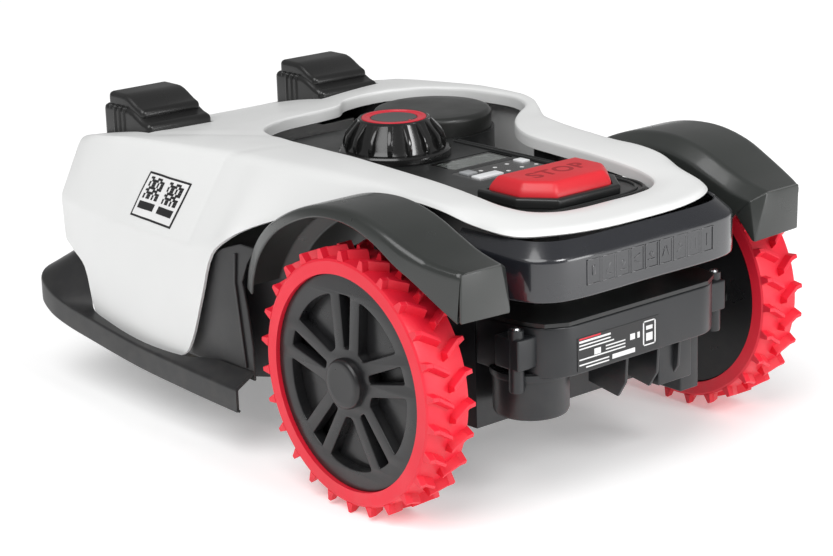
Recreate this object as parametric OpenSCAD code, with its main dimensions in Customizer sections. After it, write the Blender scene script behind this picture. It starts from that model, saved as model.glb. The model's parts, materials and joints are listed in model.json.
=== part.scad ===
// Robotic lawn mower.
// A sealed chassis stands on two driven rear wheels and two front casters. A cover with its bumper, fenders
// and tail band floats on four posts. A disc with three loose blades hangs in a well and is raised by a knob.
// +Z is up, the nose points to -Y, and the origin is on the ground under the middle of the body.

/* [Overall] */
// Length from the nose of the cover to the rear face of the tail band
body_len = 733; // [720:1:900]
// Width across the side faces of the rear tyres
body_w = 490; // [480:1:600]
// Distance from the drive axle back to the rear face of the tail band
rear_overhang = 154; // [145:1:175]
// Wall thickness of the moulded covers
wall = 3; // [2.4:0.1:3.6]

/* [Drive wheels] */
// Radius over the tips of the lugs
wheel_r = 127; // [115:1:150]
// Width of the tyre
wheel_w = 49.5; // [40:0.5:60]
// Height of a lug above the tread
lug_h = 9; // [6:0.5:12]
// Lugs in each of the two rows
lug_count = 26; // [16:1:32]
// Outer radius of the hub
rim_r = 103; // [90:1:106]
// Radius of the hub cap
cap_r = 24; // [18:1:29]
// How far the hub cap stands out of the tyre's side
cap_proud = 4; // [2:0.5:6]
// Radius of the drive shaft
shaft_r = 7; // [5:0.5:9]

/* [Casters] */
// Radius of a caster wheel
caster_r = 44; // [36:1:50]
// Width of a caster wheel
caster_w = 34; // [28:1:42]
// Trail from the stem to the caster axle
caster_trail = 20; // [14:1:24]
// Radius of a caster stem
stem_r = 8; // [6:0.5:10]
// Radius of a caster axle
pin_r = 4; // [3:0.5:5]
// Sideways distance from the middle to a caster stem
caster_x = 116; // [106:1:130]

/* [Cutting system] */
// Radius of the blade disc
disc_r = 100; // [80:1:110]
// Thickness of the blade disc
disc_t = 5; // [4:0.5:7]
// Free length of a blade beyond its screw
blade_reach = 32; // [24:1:36]
// Width of a blade
blade_w = 18; // [14:1:22]
// Height of the blades above the ground at the lowest setting
cut_low = 20; // [18:1:28]
// Travel of the height adjustment
lift_travel = 40; // [20:1:40]
// Radius of the blade motor
blade_motor_r = 36; // [30:1:40]
// Radius of the lift spindle
spindle_r = 7; // [5:0.5:9]

/* [Controls] */
// Radius of the height knob
knob_r = 55.5; // [46:0.5:66]
// Radius of the round antenna dome
dome_r = 64; // [54:1:68]
// Width of the display window
display_w = 82; // [68:1:88]
// Depth of the display window
display_d = 37; // [30:1:40]
// Half width of the stop button
stop_half = 58; // [48:1:68]
// Travel of the stop button
stop_travel = 4; // [2:0.5:5]
// Travel of a key
key_travel = 0.8; // [0.4:0.1:1.2]

/* [Fits] */
// Gap between pieces that lie against each other
gap = 0.3; // [0.1:0.1:0.5]
// Radial clearance of a running fit
run_gap = 0.05; // [0.02:0.01:0.1]
// Travel of the floating cover to either side of rest
float_travel = 4; // [2:0.5:5]

/* [Hidden] */
$fn = 64;

// The shell curves are drawn for this length and width, and follow the driving sizes from there.
drawn_len = 733;
drawn_w = 490;
drawn_wheel_r = 127;
wide = body_w / drawn_w;
fore_shift = -(body_len - drawn_len) / 2;
aft_shift = -fore_shift;
ride = wheel_r - drawn_wheel_r;
stretch_from = -215;
stretch_to = -155;

tail_y = drawn_len / 2;
axle_y = tail_y - rear_overhang;
axle_z = drawn_wheel_r;
wheel_inner_x = body_w / 2 - wheel_w;
deck_z = 266;
lid_z = 178;
tray_z = 64;
knob_y = -1.5;
knob_top = 306;
dome_c = [-112, -72];
caster_y = -262;
pod_x = 116;
pod_y = -262;
pod_size = [83, 87];
pod_r = 20;
pod_top = 315;
hood_z = 262;
well_r = disc_r + blade_reach + 12;
well_top = 112;
crown_t = 8;
wheel_to_crown = 4;
crown_to_floor = 12;
front_floor_z = 2 * caster_r + wheel_to_crown + crown_t + crown_to_floor;
blade_screw_r = 3;
blade_screw_at = disc_r - 8;
blade_t = 1.2;
spoke_count = 5;
stop_y = [206, 251, 278];
display_at = [-34, 79];
start_key_at = [4, 117];
ok_key_at = [-3, 138];
mode_key_at = [-68, 117];
key_size = [13, 14];
ok_size = [32, 13];
mode_size = [11, 14];
post_at = [[126, -192, 279], [122, 110, 283.3]];
screw_at = [[168, -110], [168, -34], [44, 246]];
icon_count = 9;
icon_pitch = 18.6;

function fy(y) = y <= stretch_from ? y + fore_shift
    : y >= stretch_to ? y + aft_shift
    : y + fore_shift + (aft_shift - fore_shift) * (y - stretch_from) / (stretch_to - stretch_from);
function place(p, kx) = [p[0] * kx, fy(p[1]), p[2] + ride];
function flip(p) = [-p[0], p[1], p[2]];
function unit(v) = v / norm(v);
function mid(a, b, rise) = (a + b) / 2 + [0, 0, rise];

// The unit normal of a grid of points, rows running down and outwards, columns anticlockwise from above.
function grid_normal(g, i, j, closed) =
    let (m = len(g), n = len(g[0]),
        right = closed ? (j + 1) % n : min(j + 1, n - 1),
        left = closed ? (j + n - 1) % n : max(j - 1, 0))
    unit(cross(g[min(i + 1, m - 1)][j] - g[max(i - 1, 0)][j], g[i][right] - g[i][left]));
function moved(g, by, closed) =
    [for (i = [0:len(g) - 1]) [for (j = [0:len(g[0]) - 1]) g[i][j] + by * grid_normal(g, i, j, closed)]];
function flat(g) = [for (row = g) for (p = row) p];

// A moulded shell between two grids of points.
module skin(outer, inner, closed) {
    m = len(outer);
    n = len(outer[0]);
    cols = closed ? n : n - 1;
    s = m * n;
    faces = concat(
        [for (i = [0:m - 2]) for (j = [0:cols - 1]) let (a = i * n + j, b = i * n + (j + 1) % n)
            each [[a, b, b + n], [a, b + n, a + n], [s + a, s + b + n, s + b], [s + a, s + a + n, s + b + n]]],
        [for (j = [0:cols - 1]) let (a = j, b = (j + 1) % n, d = (m - 1) * n + j, c = (m - 1) * n + b)
            each [[b, a, s + a], [b, s + a, s + b], [d, c, s + c], [d, s + c, s + d]]],
        closed ? [] : [for (i = [0:m - 2]) let (a = i * n, d = a + n, b = a + n - 1, c = d + n - 1)
            each [[a, d, s + d], [a, s + d, s + a], [c, b, s + b], [c, s + b, s + c]]]
    );
    polyhedron(points = concat(flat(outer), flat(inner)), faces = faces);
}
module shell(g, closed = false, t = wall) skin(g, moved(g, -t, closed), closed);

module aft() translate([0, aft_shift, ride]) children();
module fore() translate([0, fore_shift, ride]) children();
module both_sides() {
    children();
    mirror([1, 0, 0]) children();
}
module bar(p, h, r) translate(p) cylinder(h = h, r = r);
module along_x(p, h, r) translate(p) rotate([0, 90, 0]) cylinder(h = h, r = r);
module block(low, high) translate(low) cube(high - low);
module rounded(size, r) {
    square([size[0] - 2 * r, size[1]], center = true);
    square([size[0], size[1] - 2 * r], center = true);
    for (x = [-1, 1]) for (y = [-1, 1])
        translate([x * (size[0] / 2 - r), y * (size[1] / 2 - r)]) circle(r = r);
}
module pad(at, size, r, z, h) translate([at[0], at[1], z]) linear_extrude(h) rounded(size, r);

// Cover lines, near half, from the middle of the nose to the middle of the tail.
edge_low = [[0, -350, 152], [70, -349, 152], [130, -345, 153], [180, -335, 154], [207, -320, 160],
    [217, -290, 152], [219, -266, 138], [220, -249, 92], [221, -230, 83], [222, -104, 76], [222, -78, 84],
    [222, -64, 102], [221, -45, 150], [220, -25, 199], [216, -4, 217], [206, 14, 228], [190, 48, 242],
    [179, 82, 253], [166, 115, 263], [156, 142, 272], [151, 172, 278], [149, 205, 280], [146, 240, 277],
    [138, 275, 268], [126, 317, 263], [98, 339, 263], [55, 352, 263], [0, 355, 263]];
crease_wide = [[0, -358, 205], [70, -356, 205], [130, -351, 206], [182, -340, 206], [207, -323, 205],
    [215, -293, 203], [217, -268, 202], [218, -251, 201], [219, -232, 200], [220, -72, 200], [220, -67, 200],
    [220, -62, 201], [219, -50, 204], [217, -30, 210], [212, -6, 225], [203, 14, 236], [187, 48, 249],
    [175, 82, 260], [163, 115, 268], [153, 142, 277], [148, 172, 282], [146, 205, 284], [143, 240, 281],
    [135, 273, 273], [123, 314, 268], [96, 336, 268], [54, 349, 268], [0, 352, 268]];
crease_top = [[0, -336, 258], [66, -335, 258], [120, -331, 260], [160, -325, 264], [181, -315, 268],
    [189, -290, 274], [190, -266, 277], [189, -249, 279], [187, -230, 281], [168, -68, 287], [167, -62, 287],
    [167, -56, 287], [166, -44, 288], [165, -27, 288], [163, -4, 288], [161, 14, 288], [158, 48, 288],
    [155, 82, 288], [151, 115, 287], [146, 142, 287], [141, 172, 286], [137, 205, 285], [133, 240, 282],
    [125, 270, 278], [112, 304, 273], [87, 324, 271], [50, 337, 270], [0, 340, 270]];
rim = [[0, -146, 288], [25, -144, 288], [46, -139, 288], [62, -132, 288], [75, -123, 288], [84, -111, 288],
    [89, -98, 288], [92, -86, 288], [94, -70, 289], [95, -45, 289], [95, -38, 289], [95, -30, 289],
    [95, -18, 289], [95, -4, 289], [95, 10, 289], [95, 26, 289], [95, 55, 289], [95, 85, 288], [95, 117, 287],
    [95, 145, 286], [95, 173, 285], [95, 205, 283], [95, 238, 280], [94, 266, 277], [84, 290, 274],
    [62, 304, 272], [35, 307, 271], [0, 307, 271]];
// The far side swells round the antenna dome, so its shoulder and rim have their own points there.
bulge_from = 6;
shoulder_bulge = [[190, -266, 279], [191, -249, 282], [194, -230, 285], [213, -100, 292], [213, -80, 292],
    [213, -66, 292], [212, -48, 292], [210, -28, 292], [203, -6, 291], [190, 14, 290], [168, 46, 288],
    [156, 82, 288]];
rim_far = [[0, -146, 288], [25, -148, 288], [48, -153, 288], [66, -168, 288], [84, -171, 289],
    [106, -170, 290], [128, -164, 291], [147, -155, 291], [162, -142, 292], [183, -108, 292], [190, -86, 292],
    [193, -68, 292], [195, -50, 292], [194, -30, 292], [188, -10, 291], [176, 6, 290], [152, 22, 289],
    [128, 42, 288], [108, 68, 287], [95, 100, 286], [91, 145, 285], [90, 195, 283], [90, 236, 280],
    [89, 264, 277], [80, 290, 274], [60, 304, 272], [34, 307, 271], [0, 307, 271]];
rim_drop = 13;
side_crown = 1.5;
hood_crown = 5;
last = len(rim) - 1;
shoulder_far = [for (k = [0:last])
    k < bulge_from || k >= bulge_from + len(shoulder_bulge) ? crease_top[k] : shoulder_bulge[k - bulge_from]];
function crown(k) = side_crown + hood_crown * max(0, 1 - k / 7);
function around(near, far, kx) = concat([for (p = near) place(p, kx)],
    [for (k = [last - 1:-1:1]) flip(place(far[k], kx))]);
function station(j) = j <= last ? j : 2 * last - j;
rim_line = around(rim, rim_far, 1);
shoulder_line = around(crease_top, shoulder_far, wide);
cover_grid = [
    [for (p = rim_line) p - [0, 0, rim_drop]],
    rim_line,
    [for (j = [0:len(rim_line) - 1]) mid(rim_line[j], shoulder_line[j], crown(station(j)))],
    shoulder_line,
    around(crease_wide, crease_wide, wide),
    around(edge_low, edge_low, wide)
];
module pod_outline(grow) rounded([pod_size[0] + 2 * grow, pod_size[1] + 2 * grow], pod_r + grow);
module cover_shell() shell(cover_grid, true);
module top_cover() color("white") difference() {
    cover_shell();
    both_sides() fore() translate([pod_x * wide, pod_y, hood_z - 40]) linear_extrude(90) pod_outline(gap);
}

// The side label lies on the near side, between the two creases and two of the cover's stations.
label_station = 8;
label_t = 0.6;
label_outline = [[-148, 259], [-72, 258], [-115, 207], [-190, 207]];
label_patch = [for (i = [3, 4]) [for (j = [label_station, label_station + 1]) cover_grid[i][j]]];
module side_label() color("white") intersection() {
    skin(moved(label_patch, label_t, false), moved(label_patch, run_gap, false), false);
    aft() rotate([90, 0, 90]) linear_extrude(body_w) polygon(label_outline);
}

// Bumper lines, near half: the foot of its lip, and the edge that lies inside the cover.
skirt_low = [[0, -366.5, 88], [70, -366, 89], [130, -365, 91], [180, -362, 94], [213, -355, 95],
    [230, -340, 90], [236, -315, 80], [237, -285, 73], [237, -230, 66], [237, -142, 57], [238, -66, 54],
    [238, -42, 53], [238, 42, 51]];
skirt_top = [[0, -341, 148], [68, -340, 148], [122, -336, 149], [166, -325, 149], [193, -307, 148],
    [206, -290, 146], [212, -270, 128], [221, -252, 96], [225.5, -217, 89], [228.5, -142, 82],
    [230.5, -66, 80], [218, -42, 106], [218, 42, 108]];
skirt_lip = 24;
function skirt_row(l, rise) = concat([for (k = [len(l) - 1:-1:0]) flip(place(l[k] + [0, 0, rise], wide))],
    [for (k = [1:len(l) - 1]) place(l[k] + [0, 0, rise], wide)]);
dock_window = [[-46, -390, 95], [46, -330, 140]];
module bumper() color([0.12, 0.12, 0.13]) difference() {
    shell([skirt_row(skirt_top, 0), skirt_row(skirt_low, skirt_lip), skirt_row(skirt_low, 0)]);
    fore() block(dock_window[0], dock_window[1]);
}

panel_x = 212;
panel_outline = [[-80, 110], [40, 110], [24, 150], [17, 178], [27, 198], [42, 216], [16, 216], [-14, 206],
    [-40, 190]];
module side_panel() aft() translate([panel_x * wide, 0, 0])
    rotate([90, 0, 90]) linear_extrude(wall) polygon(panel_outline);
module side_panel_left() color([0.1, 0.1, 0.11]) side_panel();
module side_panel_right() color([0.1, 0.1, 0.11]) mirror([1, 0, 0]) side_panel();

// Fender lines along the arch, from the front tip to the tail: the outer lip and the top edge above it.
fender_lip = [[216, 33, 170], [222, 45, 190], [231, 68, 218], [239, 102, 247], [244, 146, 270],
    [245, 184, 281], [245, 227, 281], [245, 261, 271], [243, 288, 255], [238, 306, 243], [228, 330, 222],
    [221, 345, 209]];
fender_top = [[215, 23, 176], [220, 34, 197], [229, 58, 227], [237, 95, 256], [242, 142, 279],
    [243, 182, 290], [243, 228, 292], [243, 266, 284], [241, 296, 272], [236, 322, 262], [228, 342, 257],
    [222, 352, 255]];
fender_inner_x = 174;
chamfer_x = 160;
chamfer_drop = 13;
flank_drop = 44;
function to_hub(p, by) = let (d = [0, axle_y - p[1], axle_z - p[2]]) p + by * unit(d);
function at_x(p, x) = [x, p[1], p[2]];
fender_grid = [for (row = [
        [for (p = fender_top) to_hub(at_x(p, chamfer_x - 1), flank_drop)],
        [for (p = fender_top) to_hub(at_x(p, chamfer_x), chamfer_drop)],
        [for (p = fender_top) at_x(p, fender_inner_x)],
        fender_top, fender_lip]) [for (p = row) place(p, wide)]];
fender_end = [[chamfer_x + 1, 206], [214, 206], [218, 248], [fender_inner_x, 250], [chamfer_x + 1, 238]];
module fender() {
    shell(fender_grid);
    aft() translate([0, 352, 0]) rotate([90, 0, 0]) linear_extrude(wall)
        polygon([for (p = fender_end) [p[0] * wide, p[1]]]);
}
module fender_left() color([0.25, 0.26, 0.26]) fender();
module fender_right() color([0.25, 0.26, 0.26]) mirror([1, 0, 0]) fender();

// Tail band below the cover's tail, with a row of pictogram frames.
band_line = [[141, 250], [140, 290], [137, 325], [130, 346], [115, 359], [92, 364.5], [0, 365.5]];
band_low = 207;
band_high = 246;
band_rise = 14;
band_in = 12;
band_tail_from = 300;
function band_row(inset, z) = let (near = [for (p = band_line)
        place([p[0] - (p[0] > 0 ? inset : 0), p[1] - (p[1] > band_tail_from ? inset : 0), z], wide)])
    concat(near, [for (k = [len(near) - 2:-1:0]) flip(near[k])]);
icon_frame = [17, 24];
icon_line = 1.2;
icon_t = 2.4;
icon_z = 230;
module tail_band() color([0.09, 0.1, 0.11]) {
    shell([band_row(band_in, band_high + band_rise), band_row(0, band_high), band_row(0, band_low),
        band_row(10, band_low - 1)]);
    aft() for (i = [0:icon_count - 1])
        translate([(i - (icon_count - 1) / 2) * icon_pitch, tail_y, icon_z]) rotate([90, 0, 0])
            linear_extrude(icon_t) difference() {
                square(icon_frame, center = true);
                square(icon_frame - 2 * [icon_line, icon_line], center = true);
            }
}

// Sensor pods stand through the hood; each is a hollow housing with ribs at its nose and a cap on top.
pod_floor = 250;
pod_shoulder = 302;
pod_wall = 2.5;
rib_count = 4;
rib_pitch = 9;
rib_w = 5;
rib_proud = 1.5;
rib_first = -29.5;
rib_low = pod_floor + 35;
rib_high = pod_shoulder - 3;
module sensor_pod() fore() translate([pod_x * wide, pod_y, 0]) difference() {
    union() {
        translate([0, 0, pod_floor]) linear_extrude(pod_shoulder - pod_floor) pod_outline(0);
        for (i = [0:rib_count - 1]) translate([0, rib_first + i * rib_pitch, rib_low])
            linear_extrude(rib_high - rib_low) square([pod_size[0] + 2 * rib_proud, rib_w], center = true);
    }
    translate([0, 0, pod_floor - 1]) linear_extrude(pod_shoulder - pod_floor - wall + 1) pod_outline(-pod_wall);
}
pod_cap_size = [66, 52];
pod_cap_r = 12;
pod_cap_y = pod_y - 8;
module pod_cap() fore()
    pad([pod_x * wide, pod_cap_y], pod_cap_size, pod_cap_r, pod_shoulder + gap, pod_top - pod_shoulder - gap);
module sensor_pod_left() color([0.13, 0.13, 0.13]) sensor_pod();
module sensor_pod_right() color([0.13, 0.13, 0.13]) mirror([1, 0, 0]) sensor_pod();
module pod_cap_left() color([0.16, 0.16, 0.16]) pod_cap();
module pod_cap_right() color([0.16, 0.16, 0.16]) mirror([1, 0, 0]) pod_cap();

// Posts on the lid carry the cover's sockets on flat heads, with room to slide fore and aft.
post_r = 9;
post_head_r = 13;
post_top = 238;
head_t = 4;
socket_wall = 3;
socket_r = post_head_r + float_travel + 2;
module at_posts() both_sides() for (p = post_at) translate([p[0], fy(p[1]), ride]) children();
module float_posts() color([0.2, 0.2, 0.2]) at_posts() {
    bar([0, 0, lid_z + lid_t], post_top - lid_z - lid_t, post_r);
    bar([0, 0, post_top], head_t, post_head_r);
}
module float_sockets() color([0.3, 0.3, 0.3])
    both_sides() for (p = post_at) translate([p[0], fy(p[1]), ride]) difference() {
        bar([0, 0, post_top - 8], p[2] - post_top + 8, socket_r + socket_wall);
        bar([0, 0, post_top - 9], 9 + head_t + run_gap, socket_r);
    }

// Chassis lines in plan, near half.
tray_side_x = 185;
tray_line = [[0, -322], [70, -322], [150, -300], [172, -262], [180, -200], [tray_side_x, -120],
    [tray_side_x, -20], [150, 22], [150, 92], [128, 150], [124, 258], [0, 258]];
lid_line = [[0, -322], [70, -322], [150, -300], [172, -262], [180, -200], [tray_side_x, -120],
    [tray_side_x, -20], [150, 22], [150, 92], [128, 150], [124, 300], [120, 320], [112, 340], [92, 351],
    [0, 351]];
tray_wall = 4;
lid_t = 4;
step_y = -150;
function plan(l) = concat([for (p = l) [p[0], fy(p[1])]],
    [for (k = [len(l) - 2:-1:1]) [-l[k][0], fy(l[k][1])]]);
function inset_line(l, by) = [for (p = l) [p[0] > 0 ? p[0] - by : 0, p[1] + (p[1] < 0 ? by : -by)]];
module slab(l, z, h) translate([0, 0, z + ride]) linear_extrude(h) polygon(plan(l));
module front_half(z, h, past = 0) translate([-body_w, fy(step_y) + past - body_len, z + ride])
    cube([2 * body_w, body_len, h]);
module at_screws() both_sides() for (p = screw_at) translate([p[0], fy(p[1]), ride]) children();
screw_r = 2;
boss_r = 6;
bush_t = 4;
bush_h = 47;
door_low = [-62, -310];
door_high = [62, -200];
axle_tube_r = shaft_r + 12;
module chassis_tray() color([0.1, 0.1, 0.11]) difference() {
    slab(tray_line, tray_z, lid_z - tray_z);
    difference() {
        slab(inset_line(tray_line, tray_wall), tray_z + tray_wall, lid_z);
        front_half(tray_z, front_floor_z + tray_wall - tray_z, tray_wall);
        aft() bar([0, knob_y, tray_z], well_top + tray_wall - tray_z, well_r + tray_wall);
        both_sides() fore() bar([caster_x, caster_y, front_floor_z], bush_h + 2, stem_r + bush_t + tray_wall);
        at_screws() bar([0, 0, tray_z], lid_z - tray_z + 1, boss_r);
    }
    front_half(tray_z - 1, front_floor_z - tray_z + 1);
    aft() {
        bar([0, knob_y, tray_z - 1], well_top - tray_z + 1, well_r);
        bar([0, knob_y, well_top - 1], tray_wall + 2, blade_motor_r + wall + 2);
        both_sides() along_x([100, axle_y, axle_z], 60, axle_tube_r + gap);
    }
    both_sides() fore() bar([caster_x, caster_y, front_floor_z - 1], bush_h + 1, stem_r + bush_t);
    at_screws() bar([0, 0, tray_z - 1], lid_z - tray_z + 2, screw_r + gap);
    fore() block([door_low[0], door_low[1], front_floor_z - 1], [door_high[0], door_high[1],
        front_floor_z + tray_wall + 1]);
}
module chassis_screws() color("silver") at_screws() {
    bar([0, 0, tray_z - 2.5], 2.5, boss_r - 1);
    bar([0, 0, tray_z - 1], lid_z + lid_t - tray_z + 2, screw_r);
}
module caster_bushes() color("goldenrod") both_sides() fore() difference() {
    bar([caster_x, caster_y, front_floor_z], bush_h - gap, stem_r + bush_t - run_gap);
    bar([caster_x, caster_y, front_floor_z - 1], bush_h + 2, stem_r + run_gap);
}
module battery_door() color([0.13, 0.13, 0.14]) fore()
    block([door_low[0] + gap, door_low[1] + gap, front_floor_z],
        [door_high[0] - gap, door_high[1] - gap, front_floor_z + tray_wall]);
module battery_pack() color([0.2, 0.25, 0.3]) fore()
    block([door_low[0] + 4, door_low[1] + 4, front_floor_z + tray_wall + gap],
        [door_high[0] - 4, door_high[1] - 4, lid_z - 4]);
contact_low = [18, -324, front_floor_z + 8];
contact_high = [36, -322, front_floor_z + 30];
module charging_contacts() color("goldenrod") both_sides() fore() block(contact_low, contact_high);

// The lid closes the tray and rises as a tower to the control deck.
deck_line = [[0, -134], [40, -131], [68, -119], [82, -96], [86, -60], [86, 268], [76, 288], [52, 297],
    [0, 298]];
deck_wall = 4;
lobe_margin = 3;
function deck_plan(by) = let (l = inset_line(deck_line, by))
    concat(l, [for (k = [len(l) - 2:-1:1]) [-l[k][0], l[k][1]]]);
module deck_solid(z, h, by) {
    translate([0, 0, z]) linear_extrude(h) polygon(deck_plan(by));
    bar([dome_c[0], dome_c[1], z], h, dome_r + lobe_margin - by);
}
stop_corner = 22;
stop_line = [[-stop_half, stop_y[0]], [stop_half, stop_y[0]], [stop_half, stop_y[1]],
    [stop_half - stop_corner, stop_y[2]], [-stop_half + stop_corner, stop_y[2]], [-stop_half, stop_y[1]]];
stop_mid = (stop_y[0] + stop_y[2]) / 2;
stop_depth = stop_y[2] - stop_y[0];
function stop_grown(by) = [for (p = stop_line)
    [p[0] * (1 + by / stop_half), stop_mid + (p[1] - stop_mid) * (1 + 2 * by / stop_depth)]];
stop_well_z = 248;
window_recess = 1.8;
film_recess = 0.8;
film_at = [-32, 128];
film_size = [100, 46];
guide_h = 30;
under_window = [10, 8];
module key_hole(at, size) pad(at, size + 2 * [gap, gap], 3, deck_z - 9, 12);
module key_holes() {
    key_hole(start_key_at, key_size);
    key_hole(ok_key_at, ok_size);
    key_hole(mode_key_at, mode_size);
}
module chassis_lid() color([0.12, 0.13, 0.13]) difference() {
    union() {
        slab(lid_line, lid_z + gap, lid_t - gap);
        aft() deck_solid(lid_z + gap, deck_z - lid_z - gap, 0);
    }
    aft() difference() {
        deck_solid(lid_z - 1, deck_z - lid_z + 1 - deck_wall, deck_wall);
        bar([0, knob_y, deck_z - guide_h], guide_h, spindle_r + 6);
        translate([0, 0, stop_well_z - 3]) linear_extrude(30) polygon(stop_grown(4));
    }
    aft() {
        bar([0, knob_y, deck_z - guide_h - 1], guide_h + 2, spindle_r + run_gap);
        translate([0, 0, stop_well_z]) linear_extrude(30) polygon(stop_grown(0.8));
        pad(display_at, [display_w, display_d], 3, deck_z - window_recess, 5);
        pad(display_at, [display_w, display_d] - under_window, 2, deck_z - 9, 12);
        key_holes();
        pad(film_at, film_size, 4, deck_z - film_recess, 5);
    }
    at_screws() bar([0, 0, lid_z - 1], lid_t + 2, screw_r + gap);
}
module display_window() color([0.5, 0.55, 0.52], 0.6) aft()
    pad(display_at, [display_w, display_d] - 2 * [gap, gap], 3 - gap, deck_z - window_recess, 1.4);
module display_module() color([0.45, 0.5, 0.47]) aft()
    pad(display_at, [display_w, display_d] - under_window - 2 * [gap, gap], 2 - gap, deck_z - 7, 5);
module keypad_film() color([0.1, 0.1, 0.1]) aft() difference() {
    pad(film_at, film_size - 2 * [gap, gap], 4 - gap, deck_z - film_recess, 0.6);
    key_holes();
}
module key(at, size) aft() pad(at, size, 3 - gap, deck_z - 6.5, 7.3 + key_travel);
module start_key() color([0.6, 0.6, 0.6]) key(start_key_at, key_size);
module ok_key() color("white") key(ok_key_at, ok_size);
module mode_key() color("white") key(mode_key_at, mode_size);
stop_waist = 276;
stop_crown = 13;
stop_taper = 5;
module stop_button() color([0.85, 0.1, 0.13]) aft() {
    translate([0, 0, stop_well_z + stop_travel + 1]) linear_extrude(stop_waist - stop_well_z - stop_travel - 1)
        polygon(stop_line);
    translate([0, 0, stop_waist]) linear_extrude(stop_crown) polygon(stop_grown(-stop_taper));
}
module stop_switch() color([0.3, 0.3, 0.3]) aft()
    block([-9, stop_mid - 6, stop_well_z - 20], [9, stop_mid + 6, stop_well_z - 3 - gap]);
board_low = [-76, 24, 216];
board_high = [76, 196, 217.6];
module main_board() color([0.05, 0.35, 0.15]) aft() block(board_low, board_high);

// Round dome over the antenna.
dome_base = deck_z + gap;
dome_top = 287;
dome_edge = 5;
module antenna_dome() color([0.15, 0.15, 0.15]) aft() translate([dome_c[0], dome_c[1], 0]) difference() {
    rotate_extrude() polygon([[0, dome_base], [dome_r, dome_base], [dome_r, dome_top - dome_edge],
        [dome_r - dome_edge, dome_top], [0, dome_top]]);
    bar([0, 0, dome_base - 1], dome_top - dome_base - wall + 1, dome_r - dome_edge);
}
module antenna_puck() color([0.8, 0.78, 0.7]) aft() bar([dome_c[0], dome_c[1], dome_base], 14, dome_r * 0.6);

// Height knob with its ring, and the spindle that raises the blade motor.
knob_base = deck_z + gap;
ring_r = 33.7;
ring_in = 24;
ring_t = 4;
flute_count = 16;
flute_w = 6;
spindle_low = 164;
module knob_profile() polygon([[0, knob_base], [knob_r + 3, knob_base], [knob_r + 3, knob_base + 8],
    [knob_r, knob_base + 14], [knob_r - 3, knob_base + 22], [ring_r + 4, knob_top - 3],
    [ring_r + 2, knob_top - 1], [0, knob_top - 1]]);
module height_knob() color([0.1, 0.1, 0.1]) aft() translate([0, knob_y, 0]) {
    difference() {
        rotate_extrude() knob_profile();
        difference() {
            bar([0, 0, knob_top - ring_t], ring_t, ring_r);
            bar([0, 0, knob_top - ring_t], ring_t, ring_in);
        }
        for (i = [0:flute_count - 1]) rotate([0, 0, i * 360 / flute_count])
            block([knob_r - 4, -flute_w / 2, knob_base + 14], [knob_r + 5, flute_w / 2, knob_top]);
    }
    bar([0, 0, spindle_low], knob_base - spindle_low + 1, spindle_r);
}
module knob_ring() color([0.8, 0.1, 0.15]) aft() translate([0, knob_y, knob_top - ring_t]) difference() {
    cylinder(h = ring_t, r = ring_r - gap);
    bar([0, 0, -1], ring_t + 2, ring_in + gap);
}

// Rear housing below the tail band, with the round housing, two fins and the column between them.
housing_line = [[124, 258 + gap], [124, 300], [120, 320], [112, 340], [92, 351], [0, 351]];
rear_low = 129;
function housing_plan(by) = let (l = [for (p = housing_line)
        [p[0] > 0 ? p[0] - by : 0, p[1] + (p[1] < 260 ? by : -by)]])
    concat(l, [for (k = [len(l) - 2:-1:0]) [-l[k][0], l[k][1]]]);
round_at = [94, 301];
round_r = 36;
round_low = 86;
bracket_low = [-81, 300, 87];
bracket_high = [-36, 340, rear_low];
boss_low = [-107, 296, 65];
boss_high = [-82, 325, rear_low];
fin_x = [13, -29];
fin_t = 4;
fin_low = [290, 86];
fin_high = [345, rear_low];
module rear_housing() color([0.1, 0.1, 0.12]) aft() {
    difference() {
        translate([0, 0, rear_low]) linear_extrude(lid_z - rear_low) polygon(housing_plan(0));
        translate([0, 0, rear_low + tray_wall]) linear_extrude(lid_z) polygon(housing_plan(tray_wall));
    }
    bar([round_at[0], round_at[1], round_low], rear_low - round_low, round_r);
    block(bracket_low, bracket_high);
    block(boss_low, boss_high);
    for (x = fin_x) block([x - fin_t / 2, fin_low[0], fin_low[1]], [x + fin_t / 2, fin_high[0], fin_high[1]]);
}
rating_low = [-24, 351, 132];
rating_high = [82, 351.5, 164];
module rating_label() color([0.12, 0.12, 0.12]) aft() block(rating_low, rating_high);

// Gearmotors with the tubes that carry the drive shafts.
motor_size = [58, 68, 68];
motor_x = 60;
module gearmotor() aft() difference() {
    union() {
        block([motor_x, axle_y - motor_size[1] / 2, axle_z - motor_size[2] / 2],
            [motor_x + motor_size[0], axle_y + motor_size[1] / 2, axle_z + motor_size[2] / 2 - 8]);
        along_x([motor_x + motor_size[0] - 1, axle_y, axle_z], wheel_inner_x - 2 - motor_x - motor_size[0] + 1,
            axle_tube_r);
    }
    along_x([motor_x + 10, axle_y, axle_z], body_w, shaft_r + run_gap);
}
module gearmotor_left() color([0.3, 0.3, 0.32]) gearmotor();
module gearmotor_right() color([0.3, 0.3, 0.32]) mirror([1, 0, 0]) gearmotor();

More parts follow.
